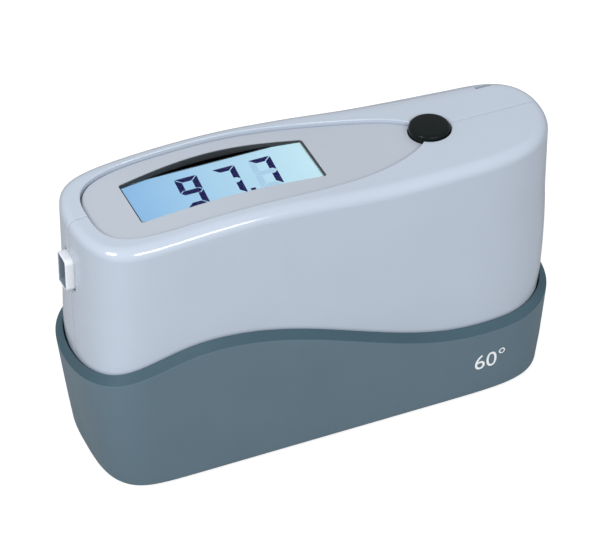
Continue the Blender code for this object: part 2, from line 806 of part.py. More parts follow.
def lens_profile(radius):
    """A lens with one curved face, as (radius, height) from top to bottom."""
    curve = LENS_RADIUS_OF_CURVE
    sag = curve - math.sqrt(curve ** 2 - radius ** 2)
    points = []
    for step in range(5):
        reach = radius * step / 4
        points.append((reach, LENS_EDGE + sag - (curve - math.sqrt(curve ** 2 - reach ** 2))))
    return (*points, (radius, 0.0), (0.0, 0.0))


def light_parts():
    radius = CHANNEL_RADIUS - BORE_GAP
    tip = min(LAMP_TIP_RADIUS, radius)
    lamp_profile = (
        (0.0, LAMP_LENGTH), (radius, LAMP_LENGTH), (radius, 0.0), (tip, 0.0),
        (tip, -LENS_EDGE), (0.0, -LENS_EDGE - tip / 2),
    )
    for side, lens, holder, finish in (
        (-1, "collimating_lens", "lamp_holder", lamp_grey),
        (1, "receiving_lens", "light_detector", detector_grey),
    ):
        turned(lens, lens_profile(radius), clear_glass, light_point(side, LENS_DISTANCE),
               light_axis(side), 20)
        turned(holder, lamp_profile, finish, light_point(side, LAMP_DISTANCE), light_axis(side), 20)


# Display


def panel_under_z():
    """Height below which nothing of the panel's opening is cut."""
    return SHOULDER_Z - 2 * WALL


def panel_ring(margin, sink):
    return [(x, y, top_z(x) - sink) for x, y in panel_outline(margin)]


def window_outline(margin=0.0):
    """The display opening: straight in front, bowed a little at the back."""
    left, right = WINDOW_LEFT_X - margin, WINDOW_RIGHT_X + margin
    front, back = WINDOW_FRONT_Y - margin, WINDOW_BACK_Y + margin
    steps = 12
    bow = []
    for step in range(steps + 1):
        share = step / steps
        bow.append((right + (left - right) * share, back + WINDOW_BOW * math.sin(math.pi * share)))
    return [(left, front), (right, front), *bow]


def lcd_box(low_z, high_z, margin=0.0):
    grown = LCD_MARGIN + margin
    return box_mesh(
        (WINDOW_LEFT_X - grown, WINDOW_FRONT_Y - grown, low_z),
        (WINDOW_RIGHT_X + grown, WINDOW_BACK_Y + WINDOW_BOW + grown, high_z),
    )


def display_panel():
    """A domed plate in the shells' opening, held from below by a flange."""
    under = WALL + GAP
    edge = PANEL_EDGE
    rings = [
        panel_ring(-GAP, under + FLANGE_DROOP + PANEL_PLATE),
        panel_ring(PANEL_FLANGE, under + FLANGE_DROOP + PANEL_PLATE),
        panel_ring(PANEL_FLANGE, under + FLANGE_DROOP),
        panel_ring(-GAP, under),
        panel_ring(-GAP, PANEL_SINK + edge),
        panel_ring(-GAP - 0.3 * edge, PANEL_SINK + 0.3 * edge),
        panel_ring(-GAP - edge, PANEL_SINK),
    ]
    panel = place(ring_loft(rings, "display_panel"), "display_panel", panel_plastic)
    cut(panel, lcd_box(LCD_TOP_Z - WALL - BACKLIGHT, LCD_TOP_Z + GAP, GAP), "lcd_pocket")
    cut(panel, prism_mesh(window_outline(), LCD_TOP_Z - WALL, SHOULDER_Z + 3 * WALL), "window")
    cut(panel, button_hole(), "button_hole")
    smooth(panel)


def window_bezel():
    """The black lining of the opening, its top following the panel's dome."""
    outer = window_outline(-GAP)
    inner = window_outline(-GAP - BEZEL_WALL)
    bottom_z = LCD_TOP_Z + GAP
    bm = bmesh.new()
    rings = []
    for outline in (outer, inner):
        rings.append([bm.verts.new((x, y, bottom_z)) for x, y in outline])
        rings.append([bm.verts.new((x, y, top_z(x) - PANEL_SINK - GAP / 3)) for x, y in outline])
    outer_low, outer_high, inner_low, inner_high = rings
    bridge(bm, outer_low, outer_high)
    bridge(bm, outer_high, inner_high)
    bridge(bm, inner_high, inner_low)
    bridge(bm, inner_low, outer_low)
    place(mesh_from(bm, "window_bezel"), "window_bezel", black_plastic)


def display_stack():
    lens_z = LCD_TOP_Z + GAP
    outline = window_outline(-2 * GAP - BEZEL_WALL)
    place(prism_mesh(outline, lens_z, lens_z + LENS_PLATE), "display_window", clear_glass)
    glass_z = LCD_TOP_Z - LCD_GLASS
    place(lcd_box(glass_z, LCD_TOP_Z), "lcd_glass", lcd_blue)
    light_z = glass_z - GAP
    place(lcd_box(light_z - BACKLIGHT, light_z), "lcd_backlight", white_plastic)


def main_board():
    mesh = box_mesh(
        (BOARD_LEFT_X, -BOARD_HALF_WIDTH, BOARD_Z),
        (BOARD_RIGHT_X, BOARD_HALF_WIDTH, BOARD_Z + BOARD_THICKNESS),
    )
    board = place(mesh, "main_board", board_green)
    round_edges_along(board, 2, BOARD_CORNER, 2)


def round_edges_along(obj, axis, radius, segments):
    """Bevel only those edges of a box that run along one axis: 0 is X and 2 is Z."""
    weights = obj.data.attributes.new("bevel_weight_edge", "FLOAT", "EDGE").data
    for edge in obj.data.edges:
        start, end = (obj.data.vertices[i].co for i in edge.vertices)
        if abs(start[axis] - end[axis]) > (start - end).length / 2:
            weights[edge.index].value = 1.0
    bevel = obj.modifiers.new("corners", "BEVEL")
    bevel.width = radius
    bevel.segments = segments
    bevel.limit_method = "WEIGHT"


# Measuring button


def button_hole():
    return rod_mesh(
        (BUTTON_X, 0, panel_under_z() - WALL), (BUTTON_X, 0, SHOULDER_Z + 2 * WALL),
        BUTTON_RADIUS + GAP, 32,
    )


def button_levels():
    """Heights of the button's top, the top of its flange, and its hub's underside."""
    cap_z = top_z(BUTTON_X) + BUTTON_PROUD
    panel_bottom = top_z(BUTTON_X) - WALL - GAP - FLANGE_DROOP - PANEL_PLATE
    flange_z = panel_bottom - GAP
    hub_z = flange_z - BUTTON_FLANGE_THICKNESS - HUB_DROP
    return cap_z, flange_z, hub_z


def measure_button():
    cap_z, flange_z, hub_z = button_levels()
    radius = BUTTON_RADIUS
    edge = BUTTON_EDGE
    profile = [(0.0, cap_z + edge / 6), (radius * 0.5, cap_z + edge / 8), (radius - edge, cap_z)]
    for step in range(1, 4):
        turn = math.pi / 2 * step / 3
        profile.append((radius - edge * (1 - math.sin(turn)), cap_z - edge * (1 - math.cos(turn))))
    low_z = flange_z - BUTTON_FLANGE_THICKNESS
    profile += [
        (radius, flange_z), (radius + BUTTON_FLANGE, flange_z), (radius + BUTTON_FLANGE, low_z),
        (HUB_RADIUS, low_z), (HUB_RADIUS, hub_z), (0.0, hub_z),
    ]
    lowered = [(reach, height - hub_z) for reach, height in profile]
    turned("measure_button", lowered, button_black, (BUTTON_X, 0.0, hub_z), steps=32)


def button_switch():
    """A small push switch on the board, with its plunger under the button's hub."""
    hub_z = button_levels()[2]
    foot_z = BOARD_Z + BOARD_THICKNESS + GAP
    half = SWITCH_SIZE / 2
    top_of_switch = hub_z - BUTTON_TRAVEL - GAP
    switch = place(box_mesh(
        (BUTTON_X - half, -half, foot_z), (BUTTON_X + half, half, top_of_switch),
    ), "button_switch", steel)
    bore = PLUNGER_RADIUS + BORE_GAP
    cut(switch, rod_mesh((BUTTON_X, 0, foot_z - WALL), (BUTTON_X, 0, hub_z), bore, 20), "plunger_bore")
    low_z = foot_z + BUTTON_TRAVEL
    height = hub_z - GAP - low_z
    profile = ((0.0, height), (PLUNGER_RADIUS, height), (PLUNGER_RADIUS, 0.0), (0.0, 0.0))
    turned("switch_plunger", profile, black_plastic, (BUTTON_X, 0.0, low_z), steps=20)


# Output socket


def socket_block(margin, outer_x, inner_x):
    """A block with the socket's section, from outer_x to inner_x on the display end."""
    return box_mesh(
        (-outer_x, -SOCKET_WIDTH / 2 - margin, SOCKET_Z - SOCKET_HEIGHT / 2 - margin),
        (-inner_x, SOCKET_WIDTH / 2 + margin, SOCKET_Z + SOCKET_HEIGHT / 2 + margin),
    )


def output_socket():
    mouth = BODY_LENGTH / 2 + SOCKET_PROUD
    inner_wall = BODY_LENGTH / 2 - WALL - GAP
    back = inner_wall - GAP - SOCKET_FLANGE
    rim = socket_block(0.0, mouth, back)
    socket = place(rim, "output_socket", socket_grey)
    round_edges_along(socket, 0, SOCKET_CORNER, 3)
    join(socket, socket_block(SOCKET_FLANGE, inner_wall - GAP, back), "socket_flange")
    cut(socket, socket_block(-SOCKET_WALL, mouth + WALL, mouth - SOCKET_DEPTH), "socket_cavity")
    floor = mouth - SOCKET_DEPTH + GAP
    insert = place(socket_block(-SOCKET_WALL - GAP, floor + INSERT_THICKNESS, floor),
                   "socket_contacts", black_plastic)
    for i in range(CONTACT_COUNT):
        z = SOCKET_Z + (i - (CONTACT_COUNT - 1) / 2) * CONTACT_PITCH
        tip = -floor - INSERT_THICKNESS - CONTACT_LENGTH
        join(insert, rod_mesh((-floor - GAP, 0, z), (tip, 0, z), CONTACT_RADIUS, 10), "contact")


# Battery bay


def cell_places():
    """Middle lines of the four cells as (y, z): two columns of two."""
    low_z = BLOCK_TOP_Z + GAP + TRAY_WALL + GAP + CELL_RADIUS
    return [(CELL_DEPTH_Y - i * CELL_PITCH, low_z + j * CELL_PITCH) for i in (0, 1) for j in (0, 1)]


def tray_frame():
    """The tray's outer left, right, lower and upper sides."""
    half = CELL_LENGTH / 2 + 2 * GAP + CONTACT_PLATE + GAP + TRAY_WALL
    return CELL_X - half, CELL_X + half, BLOCK_TOP_Z + GAP, TRAY_TOP_Z


def battery_tray():
    low_x, high_x, low_z, high_z = tray_frame()
    back_y = cell_places()[-1][0] - CELL_RADIUS - GAP
    mouth_y = CELL_DEPTH_Y + CELL_RADIUS
    limit_y = wall_y(high_x, high_z) - WALL - GAP - HOOK_THICKNESS - HOOK_SWING
    mouth_y = min(mouth_y, limit_y)
    tray = place(box_mesh((low_x, back_y - TRAY_WALL, low_z), (high_x, mouth_y, high_z)),
                 "battery_tray", black_plastic)
    cut(tray, box_mesh(
        (low_x + TRAY_WALL, back_y, low_z + TRAY_WALL),
        (high_x - TRAY_WALL, mouth_y + WALL, high_z - TRAY_WALL),
    ), "tray_pocket")
    for side, name in ((-1, "contact_plate_left"), (1, "contact_plate_right")):
        near = CELL_X + side * (CELL_LENGTH / 2 + GAP)
        far = near + side * CONTACT_PLATE
        place(box_mesh(
            (min(near, far), back_y + GAP, low_z + TRAY_WALL + GAP),
            (max(near, far), mouth_y - GAP, high_z - TRAY_WALL - GAP),
        ), name, steel)


def batteries():
    shoulder = CELL_LENGTH - NUB_LENGTH
    profile = (
        (0.0, CELL_LENGTH), (NUB_RADIUS, CELL_LENGTH), (NUB_RADIUS, shoulder),
        (CELL_RADIUS - CELL_EDGE, shoulder), (CELL_RADIUS, shoulder - CELL_EDGE),
        (CELL_RADIUS, CELL_EDGE), (CELL_RADIUS - CELL_EDGE, 0.0), (0.0, 0.0),
    )
    for number, (y, z) in enumerate(cell_places(), 1):
        facing = 1 if number % 2 else -1
        start = CELL_X - facing * CELL_LENGTH / 2
        turned(f"battery_{number}", profile, cell_jacket, (start, y, z), (facing, 0, 0), 20)


def battery_cover():
    """A piece of the rear wall that swings out about its lower edge, with a grip at its top."""
    low_x, high_x, low_z, high_z = tray_frame()
    low_x, high_x = low_x + COVER_MARGIN, high_x - COVER_MARGIN
    low_z, high_z = low_z + COVER_MARGIN, high_z - COVER_MARGIN
    hinge = (CELL_X, cover_hinge_y(), low_z + GAP)
    cover = place(shell_surface(1), "battery_cover", body_plastic, hinge)
    solidify = cover.modifiers.new("wall", "SOLIDIFY")
    solidify.thickness = WALL
    solidify.offset = -1
    solidify.use_even_offset = True
    window = place_cutter(bay_box(-GAP), "cover_outline")
    boolean(cover, window, "INTERSECT")
    for side in (-1, 1):
        x = CELL_X + side * HOOK_SPREAD
        join(cover, hook_box(x, low_z), "hook")
        join(cover, hook_root(x, low_z), "hook_root")
    for i in range(GRIP_RIBS):
        z = high_z - (i + 2) * GRIP_PITCH
        y = wall_y(CELL_X + GRIP_LENGTH / 2, z)
        cut(cover, rod_mesh((CELL_X - GRIP_LENGTH / 2, y, z), (CELL_X + GRIP_LENGTH / 2, y, z),
                            GRIP_RADIUS, 12), "grip_groove")
    smooth(cover)


def hook_box(x, sill_z):
    """A lug on the cover's inner face that reaches down behind the opening's sill."""
    back = min(wall_y(x - HOOK_WIDTH / 2, sill_z), wall_y(x + HOOK_WIDTH / 2, sill_z)) - WALL - GAP
    return box_mesh(
        (x - HOOK_WIDTH / 2, back - HOOK_THICKNESS, sill_z - HOOK_DROP),
        (x + HOOK_WIDTH / 2, back, sill_z + HOOK_DROP),
    )


def hook_root(x, sill_z):
    """The short neck that ties a hook to the cover above the sill."""
    back = wall_y(x, sill_z) - WALL - GAP - HOOK_THICKNESS
    return box_mesh(
        (x - HOOK_WIDTH / 2, back, sill_z + 2 * GAP),
        (x + HOOK_WIDTH / 2, back + HOOK_THICKNESS + WALL, sill_z + HOOK_DROP),
    )


def cover_hinge_y():
    return wall_y(CELL_X, SHOULDER_Z)


# Fasteners


def add_screw(name, location, axis, length):
    """A pan-head screw: its head's outer face is at the location, and axis points out of it."""
    profile = (
        (0.0, 0.0), (SCREW_HEAD_RADIUS * 0.8, 0.0), (SCREW_HEAD_RADIUS, -SCREW_HEAD_HEIGHT * 0.4),
        (SCREW_HEAD_RADIUS, -SCREW_HEAD_HEIGHT), (SCREW_RADIUS, -SCREW_HEAD_HEIGHT),
        (SCREW_RADIUS, -length), (0.0, -length - SCREW_RADIUS),
    )
    screw = turned(name, profile, steel, location, axis, 16)
    turn = Vector((0, 0, 1)).rotation_difference(Vector(axis)).to_matrix().to_4x4()
    for long_way in (0, 1):
        size = [CROSS_WIDTH / 2, CROSS_WIDTH / 2]
        size[long_way] = CROSS_LENGTH / 2
        mesh = box_mesh((-size[0], -size[1], -CROSS_DEPTH), (size[0], size[1], CROSS_DEPTH))
        mesh.transform(Matrix.Translation(location) @ turn)
        cut(screw, mesh, "cross_slot")


def screws():
    for number, (x, z) in enumerate(SHELL_SCREWS, 1):
        head = HEAD_SEAT_Y + GAP + SCREW_HEAD_HEIGHT
        length = head + BOSS_BORE_DEPTH - SCREW_RADIUS - GAP
        add_screw(f"shell_screw_{number}", (x, head, z), (0, 1, 0), length)
    for number, (x, y) in enumerate(plate_screw_places(), 1):
        add_screw(f"plate_screw_{number}", (x, y, METER_LIFT + GAP), (0, 0, -1), PLATE_SCREW_LENGTH)


clear_scene()
parts = new_collection("gloss_meter")
cutters = new_collection("cutters", hidden=True)

body_plastic = plastic("body_plastic", (0.47, 0.55, 0.65), 0.28)
panel_plastic = plastic("panel_plastic", (0.45, 0.50, 0.57), 0.42)
slate = plastic("slate", (0.115, 0.170, 0.205), 0.45)
black_plastic = plastic("black_plastic", (0.020, 0.022, 0.024), 0.45)
button_black = plastic("button_black", (0.014, 0.020, 0.019), 0.35)
black_glass = plastic("black_glass", (0.004, 0.004, 0.005), 0.03)
clear_glass = plastic("clear_glass", (0.80, 0.86, 0.88), 0.02)
lcd_blue = plastic("lcd_blue", (0.40, 0.65, 0.86), 0.25)
white_plastic = plastic("white_plastic", (0.80, 0.82, 0.80), 0.40)
board_green = plastic("board_green", (0.020, 0.130, 0.055), 0.40)
lamp_grey = plastic("lamp_grey", (0.35, 0.35, 0.33), 0.35)
detector_grey = plastic("detector_grey", (0.12, 0.13, 0.15), 0.35)
socket_grey = plastic("socket_grey", (0.62, 0.63, 0.64), 0.35)
cell_jacket = plastic("cell_jacket", (0.10, 0.14, 0.22), 0.35)
rubber = plastic("rubber", (0.030, 0.030, 0.032), 0.80)
foam = plastic("foam", (0.060, 0.062, 0.065), 0.95)
steel = plastic("steel", (0.56, 0.57, 0.58), 0.30, 1.0)

calibration_base()
calibration_tile()
base_feet()
front_shell()
rear_shell()
base_plate()
optical_block()
light_parts()
display_panel()
window_bezel()
display_stack()
main_board()
measure_button()
button_switch()
output_socket()
battery_tray()
batteries()
battery_cover()
screws()
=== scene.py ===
import math

import bmesh
import bpy
import numpy as np
from mathutils import Matrix, Vector


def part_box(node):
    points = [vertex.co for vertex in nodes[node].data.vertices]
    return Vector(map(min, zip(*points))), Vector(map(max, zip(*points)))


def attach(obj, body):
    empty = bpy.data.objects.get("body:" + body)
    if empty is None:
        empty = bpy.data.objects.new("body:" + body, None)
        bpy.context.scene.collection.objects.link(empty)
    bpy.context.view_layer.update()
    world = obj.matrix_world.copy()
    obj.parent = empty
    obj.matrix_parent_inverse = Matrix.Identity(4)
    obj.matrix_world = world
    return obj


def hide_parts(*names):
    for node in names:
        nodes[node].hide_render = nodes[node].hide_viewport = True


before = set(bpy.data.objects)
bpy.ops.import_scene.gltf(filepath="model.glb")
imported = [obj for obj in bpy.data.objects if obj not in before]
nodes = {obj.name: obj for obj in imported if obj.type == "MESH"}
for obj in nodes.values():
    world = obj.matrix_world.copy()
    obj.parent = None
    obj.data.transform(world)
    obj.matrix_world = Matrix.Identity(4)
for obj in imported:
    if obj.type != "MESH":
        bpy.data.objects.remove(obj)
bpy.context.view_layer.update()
bpy.context.scene.view_settings.view_transform = "Standard"


# Calibration holder: the tray that the meter stands in, injection moulded in slate ABS with a
# finely sparked wall and a smooth sloping lip. It tapers with the meter, which it guides down
# onto two ribs and the carrier of its tile.
GAP = 0.0003
BODY_LENGTH = 0.140
BODY_WIDTH = 0.0435
SHOULDER_Z = 0.0819
LEFT_END_EXPONENTS = (12.4, 16.7)
RIGHT_END_EXPONENTS = (7.15, 10.2)
SIDE_EXPONENTS = (2.08, 2.95)
PLAN_HIGH_Z = 0.060
PLAN_LOW_Z = 0.010
METER_LIFT = 0.0095
RIGHT_LEAN = 0.0019
LEAN_START_Z = 0.029
LEAN_HEIGHT = 0.030
LEFT_TAPER_START_Z = 0.040
RIGHT_TAPER_START_Z = 0.033
LEFT_END_TAPER = 0.0038
RIGHT_END_TAPER = 0.0027
SIDE_TAPER = 0.0006
TAPER_SOFTNESS = 0.1
QUARTER_STEPS = 84
HOLDER_WALL = 0.0024
HOLDER_FIT = 0.0004
HOLDER_FLOOR = 0.0026
HOLDER_EDGE = 0.0011
HOLDER_INNER_CORNER = 0.0012
FOOT_PROUD = 0.0006
FOOT_THICKNESS = 0.0014
FOOT_RADIUS = 0.0042
LIP_SLOPE = math.radians(46)
LIP_ROUND = 0.0007
LIP_CREST_ROUND = 0.0002
LIP_CREST_SHARE = 0.3
LIP_FACING = 0.35
LIP_LOWEST_Z = 0.015
RIM_WAVE = ((-0.078, 0.0387), (-0.038, 0.0472), (0.048, 0.0253), (0.053, 0.0253), (0.078, 0.0302))
REAR_RIM = ((-0.078, 0.0335), *RIM_WAVE[1:])
FALL_FRONT_Y = -0.019
FALL_BACK_Y = 0.007
TILE_LENGTH = 0.054
TILE_WIDTH = 0.026
CARRIER_WALL = 0.0026
SEAT_X = 0.051
SEAT_WIDTH = 0.003
SEAT_LENGTH = 0.026
RIB_EDGE = 0.0003
SEARCH_STEPS = 44
PATH_STEPS = 12000
CLOUD_SCALE = 45
GLOSS_SPREAD = 0.03


def new_piece(name, mesh, *finishes):
    piece = bpy.data.objects.new(name, mesh)
    bpy.context.scene.collection.objects.link(piece)
    for finish in finishes:
        mesh.materials.append(finish)
    return piece


def settle(piece):
    """Turn the piece's modifiers into its mesh."""
    graph = bpy.context.evaluated_depsgraph_get()
    mesh = bpy.data.meshes.new_from_object(piece.evaluated_get(graph))
    piece.modifiers.clear()
    piece.data = mesh


def carve(piece, mesh, way="DIFFERENCE"):
    tool = new_piece("tool", mesh)
    step = piece.modifiers.new("carve", "BOOLEAN")
    step.operation = way
    step.solver = "EXACT"
    step.object = tool
    settle(piece)
    bpy.data.objects.remove(tool)


def polish(piece, sharp_degrees=32):
    """Shade smoothly up to this angle, with flat faces kept flat."""
    piece.data.polygons.foreach_set("use_smooth", [True] * len(piece.data.polygons))
    piece.data.set_sharp_from_angle(angle=math.radians(sharp_degrees))
    normals = piece.modifiers.new("normals", "WEIGHTED_NORMAL")
    normals.keep_sharp = True


def from_bmesh(bm, name):
    bmesh.ops.recalc_face_normals(bm, faces=bm.faces)
    mesh = bpy.data.meshes.new(name)
    bm.to_mesh(mesh)
    bm.free()
    return mesh


def skin(rings, name, capped=True):
    """Quads through rings of equal counts. The end rings are capped, or else joined."""
    bm = bmesh.new()
    made = [[bm.verts.new(point) for point in ring] for ring in rings]
    count = len(made[0])
    joined = [] if capped else made[:1]
    for low, high in zip(made, made[1:] + joined):
        for i in range(count):
            j = (i + 1) % count
            bm.faces.new((low[i], low[j], high[j], high[i]))
    for ring in (made[0], made[-1]) if capped else ():
        for i in range(count // 2):
            corners = [ring[i], ring[i + 1], ring[-i - 1], ring[-i % count]]
            bm.faces.new(list(dict.fromkeys(corners)))
    return from_bmesh(bm, name)


def block(low, high, rounding=0.0, name="block"):
    """A box between two corners, with rounded edges."""
    bm = bmesh.new()
    bmesh.ops.create_cube(bm, size=1.0)
    for vert in bm.verts:
        vert.co = Vector(low[i] + (high[i] - low[i]) * (vert.co[i] + 0.5) for i in range(3))
    if rounding:
        bmesh.ops.bevel(bm, geom=bm.edges[:], offset=rounding, segments=3, affect="EDGES", profile=0.5)
    return from_bmesh(bm, name)


def rod(start, end, radius, steps=32):
    bm = bmesh.new()
    start, end = Vector(start), Vector(end)
    axis = end - start
    turn = axis.to_track_quat("Z", "Y").to_matrix().to_4x4()
    bmesh.ops.create_cone(
        bm, cap_ends=True, segments=steps, radius1=radius, radius2=radius, depth=axis.length,
        matrix=Matrix.Translation((start + end) / 2) @ turn,
    )
    return from_bmesh(bm, "rod")


def ease(share):
    share = np.clip(share, 0.0, 1.0)
    return (1 - np.cos(np.pi * share)) / 2


def eased(table, x):
    """Values at x of a table of (x, value), eased between its entries."""
    values = np.full_like(x, table[-1][1])
    for (x0, value0), (x1, value1) in reversed(list(zip(table, table[1:]))):
        values = np.where(x <= x1, value0 + (value1 - value0) * ease((x - x0) / (x1 - x0)), values)
    return values


def taper_share(z, start_z):
    depth = np.maximum(0.0, (start_z - z) / (start_z - METER_LIFT))
    soft = TAPER_SOFTNESS
    return (np.hypot(depth, soft) - soft) / (math.hypot(1.0, soft) - soft)


def plan(angles, z, outset=0.0):
    """Points of the body's outline at height z, moved out along its normal. The outline is a
    superellipse, rounder above than at the foot, and the button end leans out."""
    c, s = np.cos(angles), np.sin(angles)
    z = np.broadcast_to(z, c.shape)
    squareness = np.clip((PLAN_HIGH_Z - z) / (PLAN_HIGH_Z - PLAN_LOW_Z), 0.0, 1.0)
    right, left, side = [
        high + (low - high) * squareness
        for high, low in (RIGHT_END_EXPONENTS, LEFT_END_EXPONENTS, SIDE_EXPONENTS)
    ]
    end = np.where(c > 0, right, left)
    lean = RIGHT_LEAN * np.sin(np.pi / 2 * np.clip((z - LEAN_START_Z) / LEAN_HEIGHT, 0.0, 1.0))
    half_length = BODY_LENGTH / 2 + np.where(
        c > 0, lean - RIGHT_END_TAPER * taper_share(z, RIGHT_TAPER_START_Z),
        -LEFT_END_TAPER * taper_share(z, LEFT_TAPER_START_Z),
    )
    half_width = BODY_WIDTH / 2 - SIDE_TAPER * taper_share(z, LEFT_TAPER_START_Z)
    low, high = np.full(c.shape, 0.5), np.full(c.shape, 1.5)
    for _ in range(SEARCH_STEPS):
        middle = (low + high) / 2
        inside = np.abs(middle * c) ** end + np.abs(middle * s) ** side < 1
        low, high = np.where(inside, middle, low), np.where(inside, high, middle)
    x, y = low * c, low * s
    along = np.sign(x) * end * np.abs(x) ** (end - 1) / half_length
    across = np.sign(y) * side * np.abs(y) ** (side - 1) / half_width
    size = np.hypot(along, across)
    points = (half_length * x + outset * along / size, half_width * y + outset * across / size, z)
    return np.stack(points, axis=1)


def rim_z(x, y):
    """The rim: the same wave in front and behind, but lower behind at the display end."""
    fall = ease((y - FALL_FRONT_Y) / (FALL_BACK_Y - FALL_FRONT_Y))
    return eased(RIM_WAVE, x) + (eased(REAR_RIM, x) - eased(RIM_WAVE, x)) * fall


# Half a turn of angles, at equal steps along the outline, and the rim's height over them
fine = np.linspace(0, np.pi, PATH_STEPS + 1)
path_steps = np.diff(plan(fine, PLAN_HIGH_Z)[:, :2], axis=0)
run = np.concatenate([[0], np.cumsum(np.hypot(*path_steps.T))])
half_turn = np.interp(np.linspace(0, run[-1], 2 * QUARTER_STEPS + 1), run, fine)
ring_angles = np.concatenate([half_turn[:-1], 2 * np.pi - half_turn[:0:-1]])
crest = plan(ring_angles, SHOULDER_Z)
crest_z = rim_z(crest[:, 0], crest[:, 1])


def wall_ring(share, outset, drop, low_z):
    """A ring of the holder's wall: share 0 is at low_z, and share 1 is drop below the rim."""
    return plan(ring_angles, low_z + share * (crest_z - drop - low_z), outset)


def holder_rings():
    inner, outer = HOLDER_FIT, HOLDER_FIT + HOLDER_WALL
    rings = []
    for turn in np.linspace(0, np.pi / 2, 7):
        z = FOOT_PROUD + HOLDER_EDGE * (1 - math.cos(turn))
        rings.append(plan(ring_angles, z, outer - HOLDER_EDGE * (1 - math.sin(turn))))
    last_turn = math.pi / 2 - LIP_SLOPE
    slope_width = outer - inner - LIP_ROUND * (1 - math.cos(last_turn)) - LIP_CREST_ROUND
    depth = slope_width * math.tan(LIP_SLOPE) + LIP_ROUND * math.sin(last_turn)
    low_z = FOOT_PROUD + HOLDER_EDGE
    for share in np.linspace(0, 1, 20)[1:-1]:
        rings.append(wall_ring(share, outer, depth, low_z))
    for turn in np.linspace(0, last_turn, 7):
        outset, rise = outer - LIP_ROUND * (1 - math.cos(turn)), LIP_ROUND * math.sin(turn)
        rings.append(wall_ring(1.0, outset, depth - rise, low_z))
    for share in (0.33, 0.67, 1.0):
        outset = inner + LIP_CREST_ROUND + slope_width * (1 - share)
        rings.append(wall_ring(1.0, outset, slope_width * math.tan(LIP_SLOPE) * (1 - share), low_z))
    crest_middle = LIP_CREST_SHARE * LIP_CREST_ROUND
    rings.append(wall_ring(1.0, inner + crest_middle, crest_middle, low_z))
    floor_z, corner = FOOT_PROUD + HOLDER_FLOOR, HOLDER_INNER_CORNER
    for share in np.linspace(1, 0, 9):
        rings.append(wall_ring(share, inner, LIP_CREST_ROUND, floor_z + corner))
    for turn in np.linspace(0, np.pi / 2, 5)[1:]:
        outset = inner - corner * (1 - math.cos(turn))
        rings.append(plan(ring_angles, floor_z + corner * (1 - math.sin(turn)), outset))
    return rings


def grained(name, colour, roughness, grain_size, grain_depth, mottle=0.04):
    """A finish with a fine grain, and a little unevenness of tone and gloss."""
    finish = bpy.data.materials.new(name)
    finish.use_nodes = True
    tree = finish.node_tree
    shader = tree.nodes["Principled BSDF"]
    place = tree.nodes.new("ShaderNodeTexCoord")
    cloud = tree.nodes.new("ShaderNodeTexNoise")
    cloud.inputs["Scale"].default_value = CLOUD_SCALE
    cloud.inputs["Detail"].default_value = 3
    tone = tree.nodes.new("ShaderNodeValToRGB")
    tone.color_ramp.elements[0].position = 0.3
    tone.color_ramp.elements[1].position = 0.7
    tone.color_ramp.elements[0].color = (*[c * (1 - mottle) for c in colour], 1)
    tone.color_ramp.elements[1].color = (*[min(1, c * (1 + mottle)) for c in colour], 1)
    gloss = tree.nodes.new("ShaderNodeMapRange")
    gloss.inputs["To Min"].default_value = roughness - GLOSS_SPREAD
    gloss.inputs["To Max"].default_value = roughness + GLOSS_SPREAD
    grain = tree.nodes.new("ShaderNodeTexNoise")
    grain.inputs["Scale"].default_value = 1 / grain_size
    grain.inputs["Detail"].default_value = 2
    bump = tree.nodes.new("ShaderNodeBump")
    bump.inputs["Strength"].default_value = 1.0
    bump.inputs["Distance"].default_value = grain_depth
    link = tree.links.new
    link(place.outputs["Object"], cloud.inputs["Vector"])
    link(place.outputs["Object"], grain.inputs["Vector"])
    link(cloud.outputs["Fac"], tone.inputs["Fac"])
    link(tone.outputs["Color"], shader.inputs["Base Color"])
    link(cloud.outputs["Fac"], gloss.inputs["Value"])
    link(gloss.outputs["Result"], shader.inputs["Roughness"])
    link(grain.outputs["Fac"], bump.inputs["Height"])
    link(bump.outputs["Normal"], shader.inputs["Normal"])
    return finish


def tune(finish, socket, value):
    """Set one constant of a finish's shader."""
    finish.node_tree.nodes["Principled BSDF"].inputs[socket].default_value = value


sparked_slate = grained("sparked_slate", (0.088, 0.142, 0.180), 0.46, 0.00045, 0.000012)
smooth_slate = grained("smooth_slate", (0.047, 0.088, 0.113), 0.50, 0.0012, 0.000003)
tune(smooth_slate, "Specular IOR Level", 0.12)

holder_mesh = skin(holder_rings(), "holder_tray")
holder = new_piece("holder_tray", holder_mesh, sparked_slate, smooth_slate)
floor_z = FOOT_PROUD + HOLDER_FLOOR
seat_z = METER_LIFT - GAP
carrier = (TILE_LENGTH / 2 + GAP + CARRIER_WALL, TILE_WIDTH / 2 + GAP + CARRIER_WALL)
carve(holder, block((-carrier[0], -carrier[1], floor_z - GAP), (*carrier, seat_z), RIB_EDGE), "UNION")
for side in (-1, 1):
    low = (side * SEAT_X - SEAT_WIDTH / 2, -SEAT_LENGTH / 2, floor_z - GAP)
    high = (side * SEAT_X + SEAT_WIDTH / 2, SEAT_LENGTH / 2, seat_z)
    carve(holder, block(low, high, RIB_EDGE), "UNION")
pocket = (TILE_LENGTH / 2 + GAP, TILE_WIDTH / 2 + GAP)
carve(holder, block((-pocket[0], -pocket[1], floor_z), (*pocket, METER_LIFT + GAP)))
for number in range(1, 5):
    low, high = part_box(f"base_foot_{number}")
    x, y = (low[0] + high[0]) / 2, (low[1] + high[1]) / 2
    carve(holder, rod((x, y, -GAP), (x, y, FOOT_THICKNESS + GAP), FOOT_RADIUS + GAP, 48))
for face in holder.data.polygons:
    face.material_index = int(face.normal.z > LIP_FACING and face.center.z > LIP_LOWEST_Z)
polish(holder)
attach(holder, "holder")
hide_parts("calibration_base")


